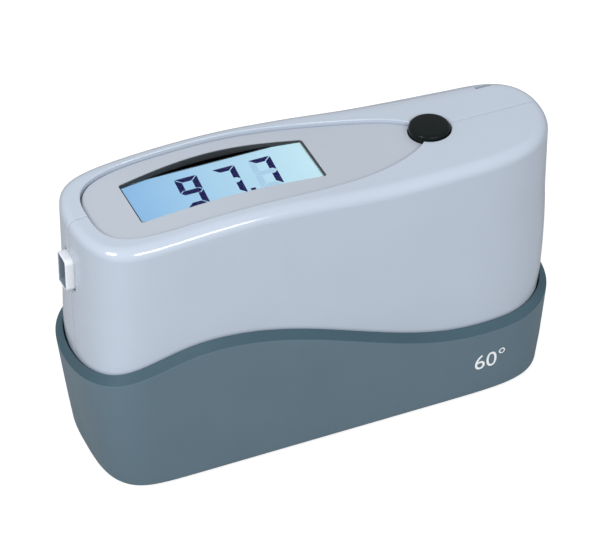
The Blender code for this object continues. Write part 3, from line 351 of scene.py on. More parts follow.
# Mark on the holder: the measuring angle, pad printed in white on the front's button end.
# It follows the wall, a hair proud of it.
MARK_X = 0.0475
MARK_Z = 0.0100
MARK_SIZE = 0.0075
INK_PROUD = 0.00003
STRIPS_EACH_WAY = 24
STRIPS_A_SIZE = 14


def flat_words(words, size):
    """A word's outline as a flat mesh, cut into narrow strips so that it can bend."""
    curve = bpy.data.curves.new("words", "FONT")
    curve.body = words
    curve.size = size
    curve.align_x = "CENTER"
    drawn = new_piece("words", curve)
    graph = bpy.context.evaluated_depsgraph_get()
    mesh = bpy.data.meshes.new_from_object(drawn.evaluated_get(graph))
    bpy.data.objects.remove(drawn)
    bm = bmesh.new()
    bm.from_mesh(mesh)
    for step in range(-STRIPS_EACH_WAY, STRIPS_EACH_WAY + 1):
        everything = bm.verts[:] + bm.edges[:] + bm.faces[:]
        cut = (step * size / STRIPS_A_SIZE, 0, 0)
        bmesh.ops.bisect_plane(bm, geom=everything, plane_co=cut, plane_no=(1, 0, 0))
    bm.to_mesh(mesh)
    bm.free()
    return mesh


def front_wall(x, z, outset):
    """A point of the front wall, by its X and its height."""
    ring = plan(np.linspace(-np.pi / 2, -0.02, 900), z, outset)
    return Vector((x, float(np.interp(x, ring[:, 0], ring[:, 1])), z))


printed_white = grained("printed_white", (0.78, 0.80, 0.81), 0.5, 0.0009, 0.000002, 0.03)
mark_mesh = flat_words("60°", MARK_SIZE)
for vert in mark_mesh.vertices:
    x, z = MARK_X + vert.co.x, MARK_Z + vert.co.y
    vert.co = front_wall(x, z, HOLDER_FIT + HOLDER_WALL + INK_PROUD)
mark = new_piece("angle_mark", mark_mesh, printed_white)
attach(mark, "holder")


# Tile and pad: a polished black glass tile that the meter is calibrated on, glued to a foam pad
# in the tray's carrier. Under the tray four soft rubber feet are glued into pockets.
def soften(node, width):
    """Round the node's edges a little, as moulding and tumbling leave them."""
    rounding = nodes[node].modifiers.new("rounding", "BEVEL")
    rounding.width = width
    rounding.segments = 2
    rounding.angle_limit = math.radians(35)
    nodes[node].data.polygons.foreach_set("use_smooth", [True] * len(nodes[node].data.polygons))


def finish_node(node, finish):
    """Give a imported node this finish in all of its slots."""
    for slot in nodes[node].material_slots:
        slot.material = finish


polished_tile = grained("polished_tile", (0.004, 0.004, 0.005), 0.05, 0.004, 0.0000005, 0.1)
pad_foam = grained("pad_foam", (0.06, 0.062, 0.065), 0.93, 0.0004, 0.00008, 0.25)
foot_rubber = grained("foot_rubber", (0.028, 0.028, 0.030), 0.8, 0.0003, 0.00003, 0.12)
finish_node("calibration_tile", polished_tile)
finish_node("tile_pad", pad_foam)
for number in range(1, 5):
    finish_node(f"base_foot_{number}", foot_rubber)


# Clamshell: two halves moulded in light blue-grey ABS with a soft gloss, 2.2 mm thick, screwed
# together from the rear. The rounded top edge, the dome over the display, the opening for the
# panel and the bore for the button run through both.
WALL = 0.0022
SHELL_REVEAL = 0.0005
FRONT_FILLET = 0.0034
LEFT_FILLET = 0.0026
RIGHT_FILLET = 0.0030
REAR_FILLET = ((-0.070, 0.0050), (0.0, 0.0054), (0.050, 0.0105), (0.066, 0.0090))
DOME_RISE = 0.00314
DOME_X = -0.025
DOME_LEFT_REACH = 0.060
DOME_RIGHT_REACH = 0.050
PARTING_GAP = 0.00006
PARTING_EDGE = 0.0003
PARTING_DEPTH = 0.0001
RIDGE_SHORTENING = 0.006
PANEL_X = -0.031
PANEL_RIGHT_REACH = 0.067
PANEL_LEFT_REACH = 0.0332
PANEL_HALF_WIDTH = 0.0167
PANEL_RIGHT_EXPONENT = 2.5
PANEL_LEFT_EXPONENT = 4.6
PANEL_LEFT_SIDE_EXPONENT = 3.0
OPENING_ROUND = 0.00035
BUTTON_X = 0.0376
BUTTON_RADIUS = 0.0059
SHELL_SCREWS = ((-0.055, 0.024), (0.055, 0.024), (-0.055, 0.0610), (0.0565, 0.0725))
BOSS_RADIUS = 0.0033
SCREW_RADIUS = 0.0011
SCREW_HEAD_RADIUS = 0.0023
HEAD_SEAT_Y = 0.0060
BOARD_Z = 0.0724
BOARD_HALF_WIDTH = 0.0149
SOCKET_Z = 0.066
SOCKET_SIZE = (0.0064, 0.0108)
STRAP_X = 0.060
STRAP_INSET = 0.0065
STRAP_LENGTH = 0.005
STRAP_WIDTH = 0.0013
STRAP_EXIT_DROP = 0.0134
STRAP_EDGE = 0.0003
SCREW_REACH = 0.011
RAIL_LEFT_X = -0.050
RAIL_RIGHT_X = 0.036
RAIL_THICKNESS = 0.0015
RAIL_HOLD = 0.0015
CELL_X = 0.031
BAY_HALF_LENGTH = 0.02375
BAY_LOW_Z = 0.0453
BAY_HIGH_Z = 0.0678
CUT_REACH = 0.002
MERGE_DISTANCE = 0.000002


def top_z(x):
    """Height of the meter's top: level, with a dome over the display."""
    reach = np.where(x < DOME_X, DOME_LEFT_REACH, DOME_RIGHT_REACH)
    share = np.minimum(1.0, np.abs(x - DOME_X) / reach)
    return SHOULDER_Z + DOME_RISE * np.cos(np.pi / 2 * share) ** 2


def half_rows(side, inset, groove):
    """Rows of points over one half, from its foot to the ridge at the parting line."""
    beside = math.asin(PARTING_EDGE / (BODY_WIDTH / 2))
    angles = np.concatenate([[0.0, beside], half_turn[1:-1], [np.pi - beside, np.pi]])
    low_z = METER_LIFT + SHELL_REVEAL
    rows = [plan(angles, z, -inset) for z in np.linspace(low_z, LEFT_TAPER_START_Z, 14)]
    rows += [plan(angles, z, -inset) for z in np.linspace(LEFT_TAPER_START_Z, PLAN_HIGH_Z, 6)[1:]]
    shoulder = plan(angles, SHOULDER_Z)
    end_share = (plan(angles, SHOULDER_Z, 1.0)[:, 0] - shoulder[:, 0]) ** 2
    fillet = FRONT_FILLET if side < 0 else eased(REAR_FILLET, shoulder[:, 0])
    end_fillet = np.where(angles < np.pi / 2, RIGHT_FILLET, LEFT_FILLET)
    fillet = fillet + (end_fillet - fillet) * end_share - inset
    for turn in np.linspace(0, np.pi / 2, 15):
        row = plan(angles, SHOULDER_Z, -inset - fillet * (1 - math.cos(turn)))
        row[:, 2] = top_z(row[:, 0]) - inset - fillet * (1 - math.sin(turn))
        rows.append(row)
    for row in rows[:-1]:
        row[0, 0] -= groove
        row[-1, 0] += groove
    rim = rows[-1].copy()
    rows[-1][[0, -1], 2] -= groove
    ridge_x = rim[:, 0] * (1 - RIDGE_SHORTENING / rim[0, 0])
    ridge_y = np.full(len(angles), PARTING_EDGE)
    ridge_y[[0, -1]] = 0
    for share in (0.06, 0.2, 0.4, 0.6, 0.8, 1.0):
        x = rim[:, 0] + (ridge_x - rim[:, 0]) * share
        y = rim[:, 1] + (ridge_y - rim[:, 1]) * share
        row = np.stack([x, y, top_z(x) - inset], axis=1)
        row[[0, -1], 2] -= groove
        rows.append(row)
    rows.append(np.stack([ridge_x, 0 * ridge_x, top_z(ridge_x) - inset - groove], axis=1))
    return rows


def shell_solid(side):
    """One half as a wall of even thickness, closed at its foot and at the middle plane."""
    bm = bmesh.new()
    skins = []
    for inset, groove in ((0.0, PARTING_DEPTH), (WALL, 0.0)):
        made = []
        for row in half_rows(side, inset, groove):
            row[:, 1] = side * np.maximum(row[:, 1], PARTING_GAP)
            made.append([bm.verts.new(point) for point in row])
        for low, high in zip(made, made[1:]):
            for i in range(len(low) - 1):
                bm.faces.new((low[i], low[i + 1], high[i + 1], high[i]))
        far_side = [row[-1] for row in made[1:]]
        near_side = [row[0] for row in made[-2:0:-1]]
        skins.append(made[0] + far_side + made[-1][-2::-1] + near_side)
    outer, inner = skins
    for i in range(len(outer)):
        j = (i + 1) % len(outer)
        bm.faces.new((outer[i], outer[j], inner[j], inner[i]))
    bmesh.ops.remove_doubles(bm, verts=bm.verts, dist=MERGE_DISTANCE)
    return from_bmesh(bm, "shell")


def even_run(points, count):
    """The same path, through points at equal distances."""
    points = np.asarray(points)
    run = np.concatenate([[0], np.cumsum(np.hypot(*np.diff(points, axis=0).T))])
    stations = np.linspace(0, run[-1], count)
    return np.stack([np.interp(stations, run, points[:, i]) for i in range(2)], axis=1)


def panel_outline(margin=0.0):
    """The display panel's plan: blunt at the left, running to a tip under the button."""
    turn = np.linspace(0, np.pi / 2, 3000)
    right_x = PANEL_X + (PANEL_RIGHT_REACH + margin) * np.cos(turn) ** (2 / PANEL_RIGHT_EXPONENT)
    left_x = PANEL_X - (PANEL_LEFT_REACH + margin) * np.cos(turn[::-1]) ** (2 / PANEL_LEFT_EXPONENT)
    right = np.stack([right_x, np.sin(turn)], axis=1)
    left = np.stack([left_x, np.sin(turn[::-1]) ** (2 / PANEL_LEFT_SIDE_EXPONENT)], axis=1)
    half = np.concatenate([right, left[1:]]) * (1, PANEL_HALF_WIDTH + margin)
    back = even_run(half, 121)
    front = back[1:-1][::-1] * (1, -1)
    return np.concatenate([back, front])


def domed(outline, sink):
    """A flat outline laid on the dome, this far below it."""
    return np.column_stack([outline, top_z(outline[:, 0]) - sink])


def flared(outline_at, depth):
    """A cutter for an opening in the dome, whose mouth it rounds over."""
    foot = outline_at(0.0)
    rings = [np.column_stack([foot, np.full(len(foot), SHOULDER_Z - depth)])]
    for turn in np.radians((0, 15, 30, 45, 60, 72)):
        margin = OPENING_ROUND * (1 - math.cos(turn))
        rings.append(domed(outline_at(margin), OPENING_ROUND * (1 - math.sin(turn))))
    high = rings[-1].copy()
    high[:, 2] += CUT_REACH
    return skin([*rings, high], "opening")


def button_outline(margin=0.0):
    turns = np.linspace(0, 2 * np.pi, 96, endpoint=False)
    reach = BUTTON_RADIUS + GAP + margin
    return np.stack([BUTTON_X + reach * np.cos(turns), reach * np.sin(turns)], axis=1)


def wall_y(x, z):
    ring = plan(half_turn[::-1], z)
    return float(np.interp(x, ring[:, 0], ring[:, 1]))


def add_shell(name, side):
    shell = new_piece(name, shell_solid(side), soft_gloss_blue)
    for x, z in SHELL_SCREWS:
        far = wall_y(math.copysign(abs(x) + BOSS_RADIUS, x), z) - WALL / 3
        carve(shell, rod((x, side * GAP / 2, z), (x, side * far, z), BOSS_RADIUS), "UNION")
    rail_root = wall_y(RAIL_LEFT_X, BOARD_Z) - WALL / 2
    rail_y = sorted((side * (BOARD_HALF_WIDTH - RAIL_HOLD), side * rail_root))
    rail_low = (RAIL_LEFT_X, rail_y[0], BOARD_Z - GAP - RAIL_THICKNESS)
    carve(shell, block(rail_low, (RAIL_RIGHT_X, rail_y[1], BOARD_Z - GAP)), "UNION")
    for x, z in SHELL_SCREWS:
        carve(shell, rod((x, -SCREW_REACH, z), (x, SCREW_REACH, z), SCREW_RADIUS + GAP, 24))
    carve(shell, flared(panel_outline, 2 * WALL))
    carve(shell, flared(button_outline, 3 * WALL))
    half_y, half_z = SOCKET_SIZE[0] / 2 + GAP, SOCKET_SIZE[1] / 2 + GAP
    outer_x, inner_x = BODY_LENGTH / 2 + WALL, BODY_LENGTH / 2 - 2 * WALL
    carve(shell, block((-outer_x, -half_y, SOCKET_Z - half_z), (-inner_x, half_y, SOCKET_Z + half_z)))
    return shell


soft_gloss_blue = grained("soft_gloss_blue", (0.420, 0.480, 0.565), 0.14, 0.0011, 0.000002, 0.015)
tune(soft_gloss_blue, "Specular IOR Level", 0.7)

front_half = add_shell("front_half", -1)
polish(front_half, 28)
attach(front_half, "meter")
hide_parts("front_shell")

rear_half = add_shell("rear_half", 1)
for x, z in SHELL_SCREWS:
    carve(rear_half, rod((x, HEAD_SEAT_Y, z), (x, BODY_WIDTH, z), SCREW_HEAD_RADIUS + GAP, 32))
strap_y = wall_y(STRAP_X, SHOULDER_Z) - STRAP_INSET
strap_z = SHOULDER_Z - STRAP_EXIT_DROP
half_slot, half_gap = STRAP_LENGTH / 2, STRAP_WIDTH / 2
carve(rear_half, block(
    (STRAP_X - half_slot, strap_y - half_gap, strap_z),
    (STRAP_X + half_slot, strap_y + half_gap, SHOULDER_Z + WALL), STRAP_EDGE,
))
carve(rear_half, block(
    (STRAP_X - half_slot, strap_y, strap_z - half_gap),
    (STRAP_X + half_slot, strap_y + 2 * STRAP_INSET, strap_z + half_gap), STRAP_EDGE,
))


def bay_block(margin):
    """The battery opening in the rear wall, grown by a margin, from the tray outwards."""
    half = BAY_HALF_LENGTH + margin
    low = (CELL_X - half, BOARD_HALF_WIDTH, BAY_LOW_Z - margin)
    return block(low, (CELL_X + half, BODY_WIDTH, BAY_HIGH_Z + margin))


carve(rear_half, bay_block(0.0))
polish(rear_half, 28)
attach(rear_half, "meter")
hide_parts("rear_shell")


# Battery cover: a piece of the rear wall in the same ABS, with two hooks behind the sill that it
# swings about, and finger grooves at the top.
HOOK_SPREAD = 0.013
HOOK_WIDTH = 0.006
HOOK_DROP = 0.0016
HOOK_THICKNESS = 0.0011
HOOK_EDGE = 0.0002
GRIP_RIBS = 5
GRIP_PITCH = 0.0018
GRIP_LENGTH = 0.012
GRIP_RADIUS = 0.0006

cover = new_piece("bay_cover", shell_solid(1), soft_gloss_blue)
carve(cover, bay_block(-GAP), "INTERSECT")
for side in (-1, 1):
    x = CELL_X + side * HOOK_SPREAD
    back = wall_y(x + side * HOOK_WIDTH / 2, BAY_LOW_Z) - WALL - GAP
    for reach, low_z in ((0, BAY_LOW_Z - HOOK_DROP), (WALL, BAY_LOW_Z + 2 * GAP)):
        low = (x - HOOK_WIDTH / 2, back - HOOK_THICKNESS, low_z)
        high = (x + HOOK_WIDTH / 2, back + reach, BAY_LOW_Z + HOOK_DROP)
        carve(cover, block(low, high, HOOK_EDGE), "UNION")
for rib in range(GRIP_RIBS):
    z = BAY_HIGH_Z - (rib + 2) * GRIP_PITCH
    y = wall_y(CELL_X, z)
    start = (CELL_X - GRIP_LENGTH / 2, y, z)
    carve(cover, rod(start, (CELL_X + GRIP_LENGTH / 2, y, z), GRIP_RADIUS, 24))
polish(cover, 28)
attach(cover, "cover")
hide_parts("battery_cover")


# Measuring face and optics: a black plate with the aperture, screwed under a V-shaped block with
# two light channels at sixty degrees. A lens, and the lamp or the sensor, sit in each channel.
matt_black = grained("matt_black", (0.020, 0.022, 0.024), 0.48, 0.0005, 0.00001, 0.1)
lens_glass = grained("lens_glass", (0.80, 0.86, 0.88), 0.05, 0.004, 0.0000002, 0.02)
tune(lens_glass, "Transmission Weight", 0.9)
lamp_grey = grained("lamp_grey", (0.35, 0.35, 0.33), 0.4, 0.0006, 0.000006, 0.06)
sensor_grey = grained("sensor_grey", (0.12, 0.13, 0.15), 0.4, 0.0006, 0.000006, 0.06)
soften("base_plate", 0.0002)
soften("optical_block", 0.0003)
finish_node("base_plate", matt_black)
finish_node("optical_block", matt_black)
finish_node("collimating_lens", lens_glass)
finish_node("receiving_lens", lens_glass)
finish_node("lamp_holder", lamp_grey)
finish_node("light_detector", sensor_grey)


# Display panel: a domed teardrop in grey satin ABS, let 1.2 mm into both halves and held from
# below by its flange. Its display opening is straight in front and bowed at the back.
PANEL_SINK = 0.0012
PANEL_PLATE = 0.0012
PANEL_FLANGE = 0.0012
FLANGE_DROOP = 0.0006
PANEL_EDGE = 0.0004
WINDOW_LEFT_X = -0.0519
WINDOW_RIGHT_X = 0.0027
WINDOW_FRONT_Y = -0.0086
WINDOW_BACK_Y = 0.0093
WINDOW_BOW = 0.0026
WINDOW_CORNER = 0.0007
SMALLEST_CORNER = 0.0002
BOW_STEPS = 60
LCD_TOP_Z = 0.0810
LCD_MARGIN = 0.0016
LCD_GLASS = 0.0018
BACKLIGHT = 0.0046


def window_outline(margin=0.0):
    """The display opening, with tight corners, running round from its front left."""
    left, right = WINDOW_LEFT_X - margin, WINDOW_RIGHT_X + margin
    front, back = WINDOW_FRONT_Y - margin, WINDOW_BACK_Y + margin
    corner = max(SMALLEST_CORNER, WINDOW_CORNER + margin)
    points = []
    for x, y, first in ((left, front, 180), (right, front, 270), (right, back, 0), (left, back, 90)):
        inward_x = corner if x == left else -corner
        inward_y = corner if y == front else -corner
        for degrees in range(first, first + 91, 15):
            turn = math.radians(degrees)
            corner_x, corner_y = corner * math.cos(turn), corner * math.sin(turn)
            points.append((x + inward_x + corner_x, y + inward_y + corner_y))
        if first == 0:
            stations = np.linspace(right - corner, left + corner, BOW_STEPS + 1)[1:-1]
            points += [(station, back) for station in stations]
    points = np.array(points)
    share = np.clip((right - points[:, 0]) / (right - left), 0, 1)
    points[:, 1] += WINDOW_BOW * np.sin(np.pi * share) * (points[:, 1] > 0)
    return points


def plates(outlines, low_z, high_z):
    """Flat outlines raised from one height to another, with whole faces at both ends."""
    bm = bmesh.new()
    for outline in outlines:
        low = [bm.verts.new((x, y, low_z)) for x, y in outline]
        high = [bm.verts.new((x, y, high_z)) for x, y in outline]
        for i in range(len(low)):
            j = (i + 1) % len(low)
            bm.faces.new((low[i], low[j], high[j], high[i]))
        bm.faces.new(low[::-1])
        bm.faces.new(high)
    return from_bmesh(bm, "plates")


satin_grey = grained("satin_grey", (0.395, 0.437, 0.497), 0.36, 0.0007, 0.000006, 0.015)

under = WALL + GAP
panel_rings = [
    domed(panel_outline(-GAP), under + FLANGE_DROOP + PANEL_PLATE),
    domed(panel_outline(PANEL_FLANGE), under + FLANGE_DROOP + PANEL_PLATE),
    domed(panel_outline(PANEL_FLANGE), under + FLANGE_DROOP),
    domed(panel_outline(-GAP), under),
]
for turn in np.linspace(0, np.pi / 2, 7):
    margin = -GAP - PANEL_EDGE * (1 - math.cos(turn))
    panel_rings.append(domed(panel_outline(margin), PANEL_SINK + PANEL_EDGE * (1 - math.sin(turn))))
panel = new_piece("teardrop_panel", skin(panel_rings, "teardrop_panel"), satin_grey)
grown = LCD_MARGIN + GAP
carve(panel, block(
    (WINDOW_LEFT_X - grown, WINDOW_FRONT_Y - grown, LCD_TOP_Z - WALL - BACKLIGHT),
    (WINDOW_RIGHT_X + grown, WINDOW_BACK_Y + WINDOW_BOW + grown, LCD_TOP_Z + GAP),
))
carve(panel, plates([window_outline()], LCD_TOP_Z - WALL, SHOULDER_Z + 3 * WALL))
bore = ((BUTTON_X, 0, SHOULDER_Z - 5 * WALL), (BUTTON_X, 0, SHOULDER_Z + 3 * WALL))
carve(panel, rod(*bore, BUTTON_RADIUS + GAP, 96))
polish(panel, 30)
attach(panel, "meter")
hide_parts("display_panel")


# Opening's lining: a thin black frame pressed into the display opening, thicker at the button's
# side. A ledge at the back covers what the bow leaves open above the display's straight top.
LINING_WALL = 0.00035
LINING_GAP = 0.00005
LINING_RIGHT_WALL = 0.0008
LINING_DROP = 0.0002
LINING_CROWN = 0.00005
LEDGE_Y = 0.0100
LEDGE_THICKNESS = 0.0003

lining_low_z = LCD_TOP_Z + GAP
outer = window_outline(-LINING_GAP)
inner = window_outline(-LINING_GAP - LINING_WALL)
inner[:, 0] = np.minimum(inner[:, 0], WINDOW_RIGHT_X - LINING_RIGHT_WALL)
lining_rings = [
    np.column_stack([outer, np.full(len(outer), lining_low_z)]),
    domed(outer, PANEL_SINK + LINING_DROP),
    domed((outer + inner) / 2, PANEL_SINK + LINING_DROP - LINING_CROWN),
    domed(inner, PANEL_SINK + LINING_DROP),
    np.column_stack([inner, np.full(len(inner), lining_low_z)]),
]
lining_mesh = skin(lining_rings, "opening_lining", capped=False)
lining = new_piece("opening_lining", lining_mesh, matt_black)
bow = [point for point in inner if point[1] >= LEDGE_Y]
carve(lining, plates([bow], lining_low_z, lining_low_z + LEDGE_THICKNESS), "UNION")
polish(lining, 30)
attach(lining, "meter")
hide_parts("window_bezel")


# Display: a clear window over a liquid crystal cell with a light blue backlight. The digits are
# dark navy segments, and in the last one the segments that are off show faintly.
DIGIT_HEIGHT = 0.0130
DIGIT_WIDTH = 0.0066
DIGIT_LEAN = math.tan(math.radians(4.6))
SEGMENT = 0.0018
SEGMENT_GAP = 0.00022
DIGITS_FOOT_Y = -0.0059
DIGITS = (("9", -0.0374), ("7", -0.0262), ("7", -0.0155))
GHOST_PLACE = 2
DOT_X = -0.0177
DOT_SIZE = 0.0014
INK_HEIGHT = 0.00004
CELL_EDGE = 0.0001
PANE_THICKNESS = 0.0003
LIT = {"9": "abcdfg", "7": "abc"}


def segment_shapes(width, height, thick, gap):
    """The seven segments of a digit, in its own flat frame, by letter."""
    middle = height / 2
    top = [(gap, height), (width - gap, height), (width - thick - gap, height - thick),
           (thick + gap, height - thick)]
    upper_right = [(width, height - gap), (width, middle + gap),
                   (width - thick / 2, middle + thick / 2 + gap),
                   (width - thick, middle + thick / 2 + gap), (width - thick, height - thick - gap)]
    centre = [(gap, middle), (thick / 2 + gap, middle + thick / 2),
              (width - thick / 2 - gap, middle + thick / 2), (width - gap, middle),
              (width - thick / 2 - gap, middle - thick / 2), (thick / 2 + gap, middle - thick / 2)]

    def flip_x(shape):
        return [(width - x, y) for x, y in shape]

    def flip_y(shape):
        return [(x, height - y) for x, y in shape]

    return {
        "a": top, "b": upper_right, "c": flip_y(upper_right), "d": flip_y(top),
        "e": flip_x(flip_y(upper_right)), "f": flip_x(upper_right), "g": centre,
    }


def glowing(name, left_colour, right_colour, ink):
    """A backlit film: its light fades a little from one end of the display to the other."""
    film = bpy.data.materials.new(name)
    film.use_nodes = True
    tree = film.node_tree
    shader = tree.nodes["Principled BSDF"]
    shader.inputs["Base Color"].default_value = (*ink, 1)
    shader.inputs["Roughness"].default_value = 0.4
    shader.inputs["Specular IOR Level"].default_value = 0.05
    shader.inputs["Emission Strength"].default_value = 1.0
    place = tree.nodes.new("ShaderNodeTexCoord")
    split = tree.nodes.new("ShaderNodeSeparateXYZ")
    along = tree.nodes.new("ShaderNodeMapRange")
    along.inputs["From Min"].default_value = WINDOW_LEFT_X
    along.inputs["From Max"].default_value = WINDOW_RIGHT_X
    ramp = tree.nodes.new("ShaderNodeValToRGB")
    ramp.color_ramp.elements[0].color = (*left_colour, 1)
    ramp.color_ramp.elements[1].color = (*right_colour, 1)
    tree.links.new(place.outputs["Object"], split.inputs["Vector"])
    tree.links.new(split.outputs["X"], along.inputs["Value"])
    tree.links.new(along.outputs["Result"], ramp.inputs["Fac"])
    tree.links.new(ramp.outputs["Color"], shader.inputs["Emission Color"])
    return film


lit_ground = glowing("lit_ground", (0.235, 0.465, 0.745), (0.54, 0.79, 0.875), (0.02, 0.03, 0.05))
dark_segment = glowing("dark_segment", (0.001, 0.002, 0.070), (0.001, 0.002, 0.078), (0.003, 0.003, 0.008))
idle_segment = glowing("idle_segment", (0.30, 0.50, 0.72), (0.42, 0.63, 0.78), (0.02, 0.03, 0.05))
backlight_white = grained("backlight_white", (0.80, 0.82, 0.80), 0.45, 0.001, 0.000004, 0.02)

cell = new_piece("crystal_cell", block(
    (WINDOW_LEFT_X - LCD_MARGIN, WINDOW_FRONT_Y - LCD_MARGIN, LCD_TOP_Z - LCD_GLASS),
    (WINDOW_RIGHT_X + LCD_MARGIN, WINDOW_BACK_Y + WINDOW_BOW + LCD_MARGIN, LCD_TOP_Z), CELL_EDGE,
), lit_ground)
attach(cell, "meter")
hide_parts("lcd_glass")
finish_node("lcd_backlight", backlight_white)

segments = segment_shapes(DIGIT_WIDTH, DIGIT_HEIGHT, SEGMENT, SEGMENT_GAP)
lit, idle = [], []
for place, (digit, foot_x) in enumerate(DIGITS):
    for letter, shape in segments.items():
        placed = [(foot_x + x + y * DIGIT_LEAN, DIGITS_FOOT_Y + y) for x, y in shape]
        if letter in LIT[digit]:
            lit.append(placed)
        elif place == GHOST_PLACE:
            idle.append(placed)
dot_corners = ((-0.5, 0), (0.5, 0), (0.5, 1), (-0.5, 1))
lit.append([(DOT_X + x * DOT_SIZE, DIGITS_FOOT_Y + y * DOT_SIZE) for x, y in dot_corners])
lit_mesh = plates(lit, LCD_TOP_Z, LCD_TOP_Z + INK_HEIGHT)
idle_mesh = plates(idle, LCD_TOP_Z, LCD_TOP_Z + INK_HEIGHT / 2)
lit_digits = new_piece("lit_digits", lit_mesh, dark_segment)
idle_digits = new_piece("idle_digits", idle_mesh, idle_segment)
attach(lit_digits, "meter")
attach(idle_digits, "meter")

clear_plate = grained("clear_plate", (0.97, 0.98, 0.98), 0.03, 0.004, 0.0000001, 0.01)
tune(clear_plate, "Transmission Weight", 1.0)
tune(clear_plate, "IOR", 1.12)
pane = window_outline(-2 * LINING_GAP - LINING_WALL)
pane[:, 0] = np.minimum(pane[:, 0], WINDOW_RIGHT_X - LINING_RIGHT_WALL - LINING_GAP)
pane_low_z = lining_low_z + LEDGE_THICKNESS
pane_mesh = plates([pane], pane_low_z, pane_low_z + PANE_THICKNESS)
window = new_piece("clear_window", pane_mesh, clear_plate)
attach(window, "meter")
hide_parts("display_window")


# Circuit board: green fibreglass with copper under the mask, on rails in both halves. A small
# push switch with a steel can sits on it under the button.
board_mask = grained("board_mask", (0.020, 0.130, 0.055), 0.35, 0.0018, 0.00002, 0.35)
switch_can = grained("switch_can", (0.56, 0.57, 0.58), 0.3, 0.0015, 0.000003, 0.05)
tune(switch_can, "Metallic", 1.0)
finish_node("main_board", board_mask)
finish_node("button_switch", switch_can)
finish_node("switch_plunger", matt_black)


# Measuring button: a black ABS key with a slightly domed, soft-edged face, held under the panel
# by its flange. It presses onto the switch.
BUTTON_PROUD = 0.0012
BUTTON_EDGE = 0.0010
BUTTON_CROWN = 0.00015
BUTTON_FLANGE = 0.0010
FLANGE_THICKNESS = 0.0010
HUB_RADIUS = 0.0025
HUB_DROP = 0.0002


def turned(name, profile, x, y, steps, *finishes):
    """A piece turned about an upright axis, from (radius, height) points."""
    bm = bmesh.new()
    rings = []
    for radius, z in profile:
        if radius == 0:
            rings.append([bm.verts.new((x, y, z))])
            continue
        turns = [2 * math.pi * i / steps for i in range(steps)]
        ring = [(x + radius * math.cos(turn), y + radius * math.sin(turn), z) for turn in turns]
        rings.append([bm.verts.new(point) for point in ring])
    for low, high in zip(rings, rings[1:]):
        for i in range(steps):
            j = (i + 1) % steps
            corners = [low[i % len(low)], low[j % len(low)], high[j % len(high)], high[i % len(high)]]
            bm.faces.new(list(dict.fromkeys(corners)))
    return new_piece(name, from_bmesh(bm, name), *finishes)


button_black = grained("button_black", (0.006, 0.009, 0.009), 0.16, 0.0006, 0.000002, 0.08)
tune(button_black, "Specular IOR Level", 0.07)
mouth_z = float(top_z(np.array(BUTTON_X)))
cap_z = mouth_z + BUTTON_PROUD
flange_z = mouth_z - WALL - GAP - FLANGE_DROOP - PANEL_PLATE - GAP
hub_z = flange_z - FLANGE_THICKNESS - HUB_DROP
face_radius = BUTTON_RADIUS - BUTTON_EDGE
profile = []
for share in np.linspace(0, 1, 9):
    profile.append((face_radius * share, cap_z + BUTTON_CROWN * (1 - share ** 2)))
for turn in np.linspace(0, np.pi / 2, 10)[1:]:
    edge_z = cap_z - BUTTON_EDGE * (1 - math.cos(turn))
    profile.append((face_radius + BUTTON_EDGE * math.sin(turn), edge_z))
flange_radius = BUTTON_RADIUS + BUTTON_FLANGE
profile += [
    (BUTTON_RADIUS, flange_z), (flange_radius, flange_z), (flange_radius, flange_z - FLANGE_THICKNESS),
    (HUB_RADIUS, flange_z - FLANGE_THICKNESS), (HUB_RADIUS, hub_z), (0, hub_z),
]
button = turned("press_key", profile, BUTTON_X, 0, 96, button_black)
polish(button, 40)
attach(button, "button")
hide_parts("measure_button")


# Output socket: a pale grey moulded frame let into the display end, with painted shade on the walls
# of its cavity, a blue grey insert and four contacts at the bottom of the cavity. Its flange holds it
# behind the wall.
SOCKET_PROUD = 0.0024
SOCKET_WALL = 0.0007
SOCKET_DEPTH = 0.0075
SOCKET_CORNER = 0.0016
SOCKET_EDGE = 0.0004
SOCKET_FLANGE = 0.0014
SOCKET_CORNER_SHARE = 0.4
CAVITY_CORNER = 0.0006
CAVITY_EDGE = 0.0003


def upright_outline(half_y, half_z, corner):
    """A rounded rectangle in the plane of the display end."""
    points = []
    for sign_y, sign_z, first in ((1, 1, 0), (-1, 1, 90), (-1, -1, 180), (1, -1, 270)):
        for degrees in range(first, first + 91, 15):
            turn = math.radians(degrees)
            points.append((sign_y * (half_y - corner) + corner * math.cos(turn),
                           SOCKET_Z + sign_z * (half_z - corner) + corner * math.sin(turn)))
    return points


mouth = BODY_LENGTH / 2 + SOCKET_PROUD
flange_x = BODY_LENGTH / 2 - WALL - 2 * GAP
half_y, half_z = SOCKET_SIZE[0] / 2, SOCKET_SIZE[1] / 2
sections = [
    (flange_x - SOCKET_FLANGE, SOCKET_FLANGE, SOCKET_CORNER), (flange_x, SOCKET_FLANGE, SOCKET_CORNER),
    (flange_x, 0, SOCKET_CORNER),
]
for turn in np.linspace(0, np.pi / 2, 6):
    x, inset = mouth - SOCKET_EDGE * (1 - math.sin(turn)), SOCKET_EDGE * (1 - math.cos(turn))
    sections.append((x, -inset, SOCKET_CORNER))
for turn in np.linspace(0, np.pi / 2, 5):
    x, grow = mouth - CAVITY_EDGE * (1 - math.cos(turn)), CAVITY_EDGE * (1 - math.sin(turn))
    sections.append((x, -SOCKET_WALL + grow, CAVITY_CORNER + grow))
sections.append((mouth - SOCKET_DEPTH, -SOCKET_WALL, CAVITY_CORNER))
socket_rings = []
for x, margin, corner in sections:
    corner = max(SMALLEST_CORNER, corner + min(0, margin) * SOCKET_CORNER_SHARE)
    outline = upright_outline(half_y + margin, half_z + margin, corner)
    socket_rings.append([(-x, y, z) for y, z in outline])
socket_pale = grained("socket_pale", (0.66, 0.69, 0.73), 0.38, 0.0007, 0.000006, 0.03)
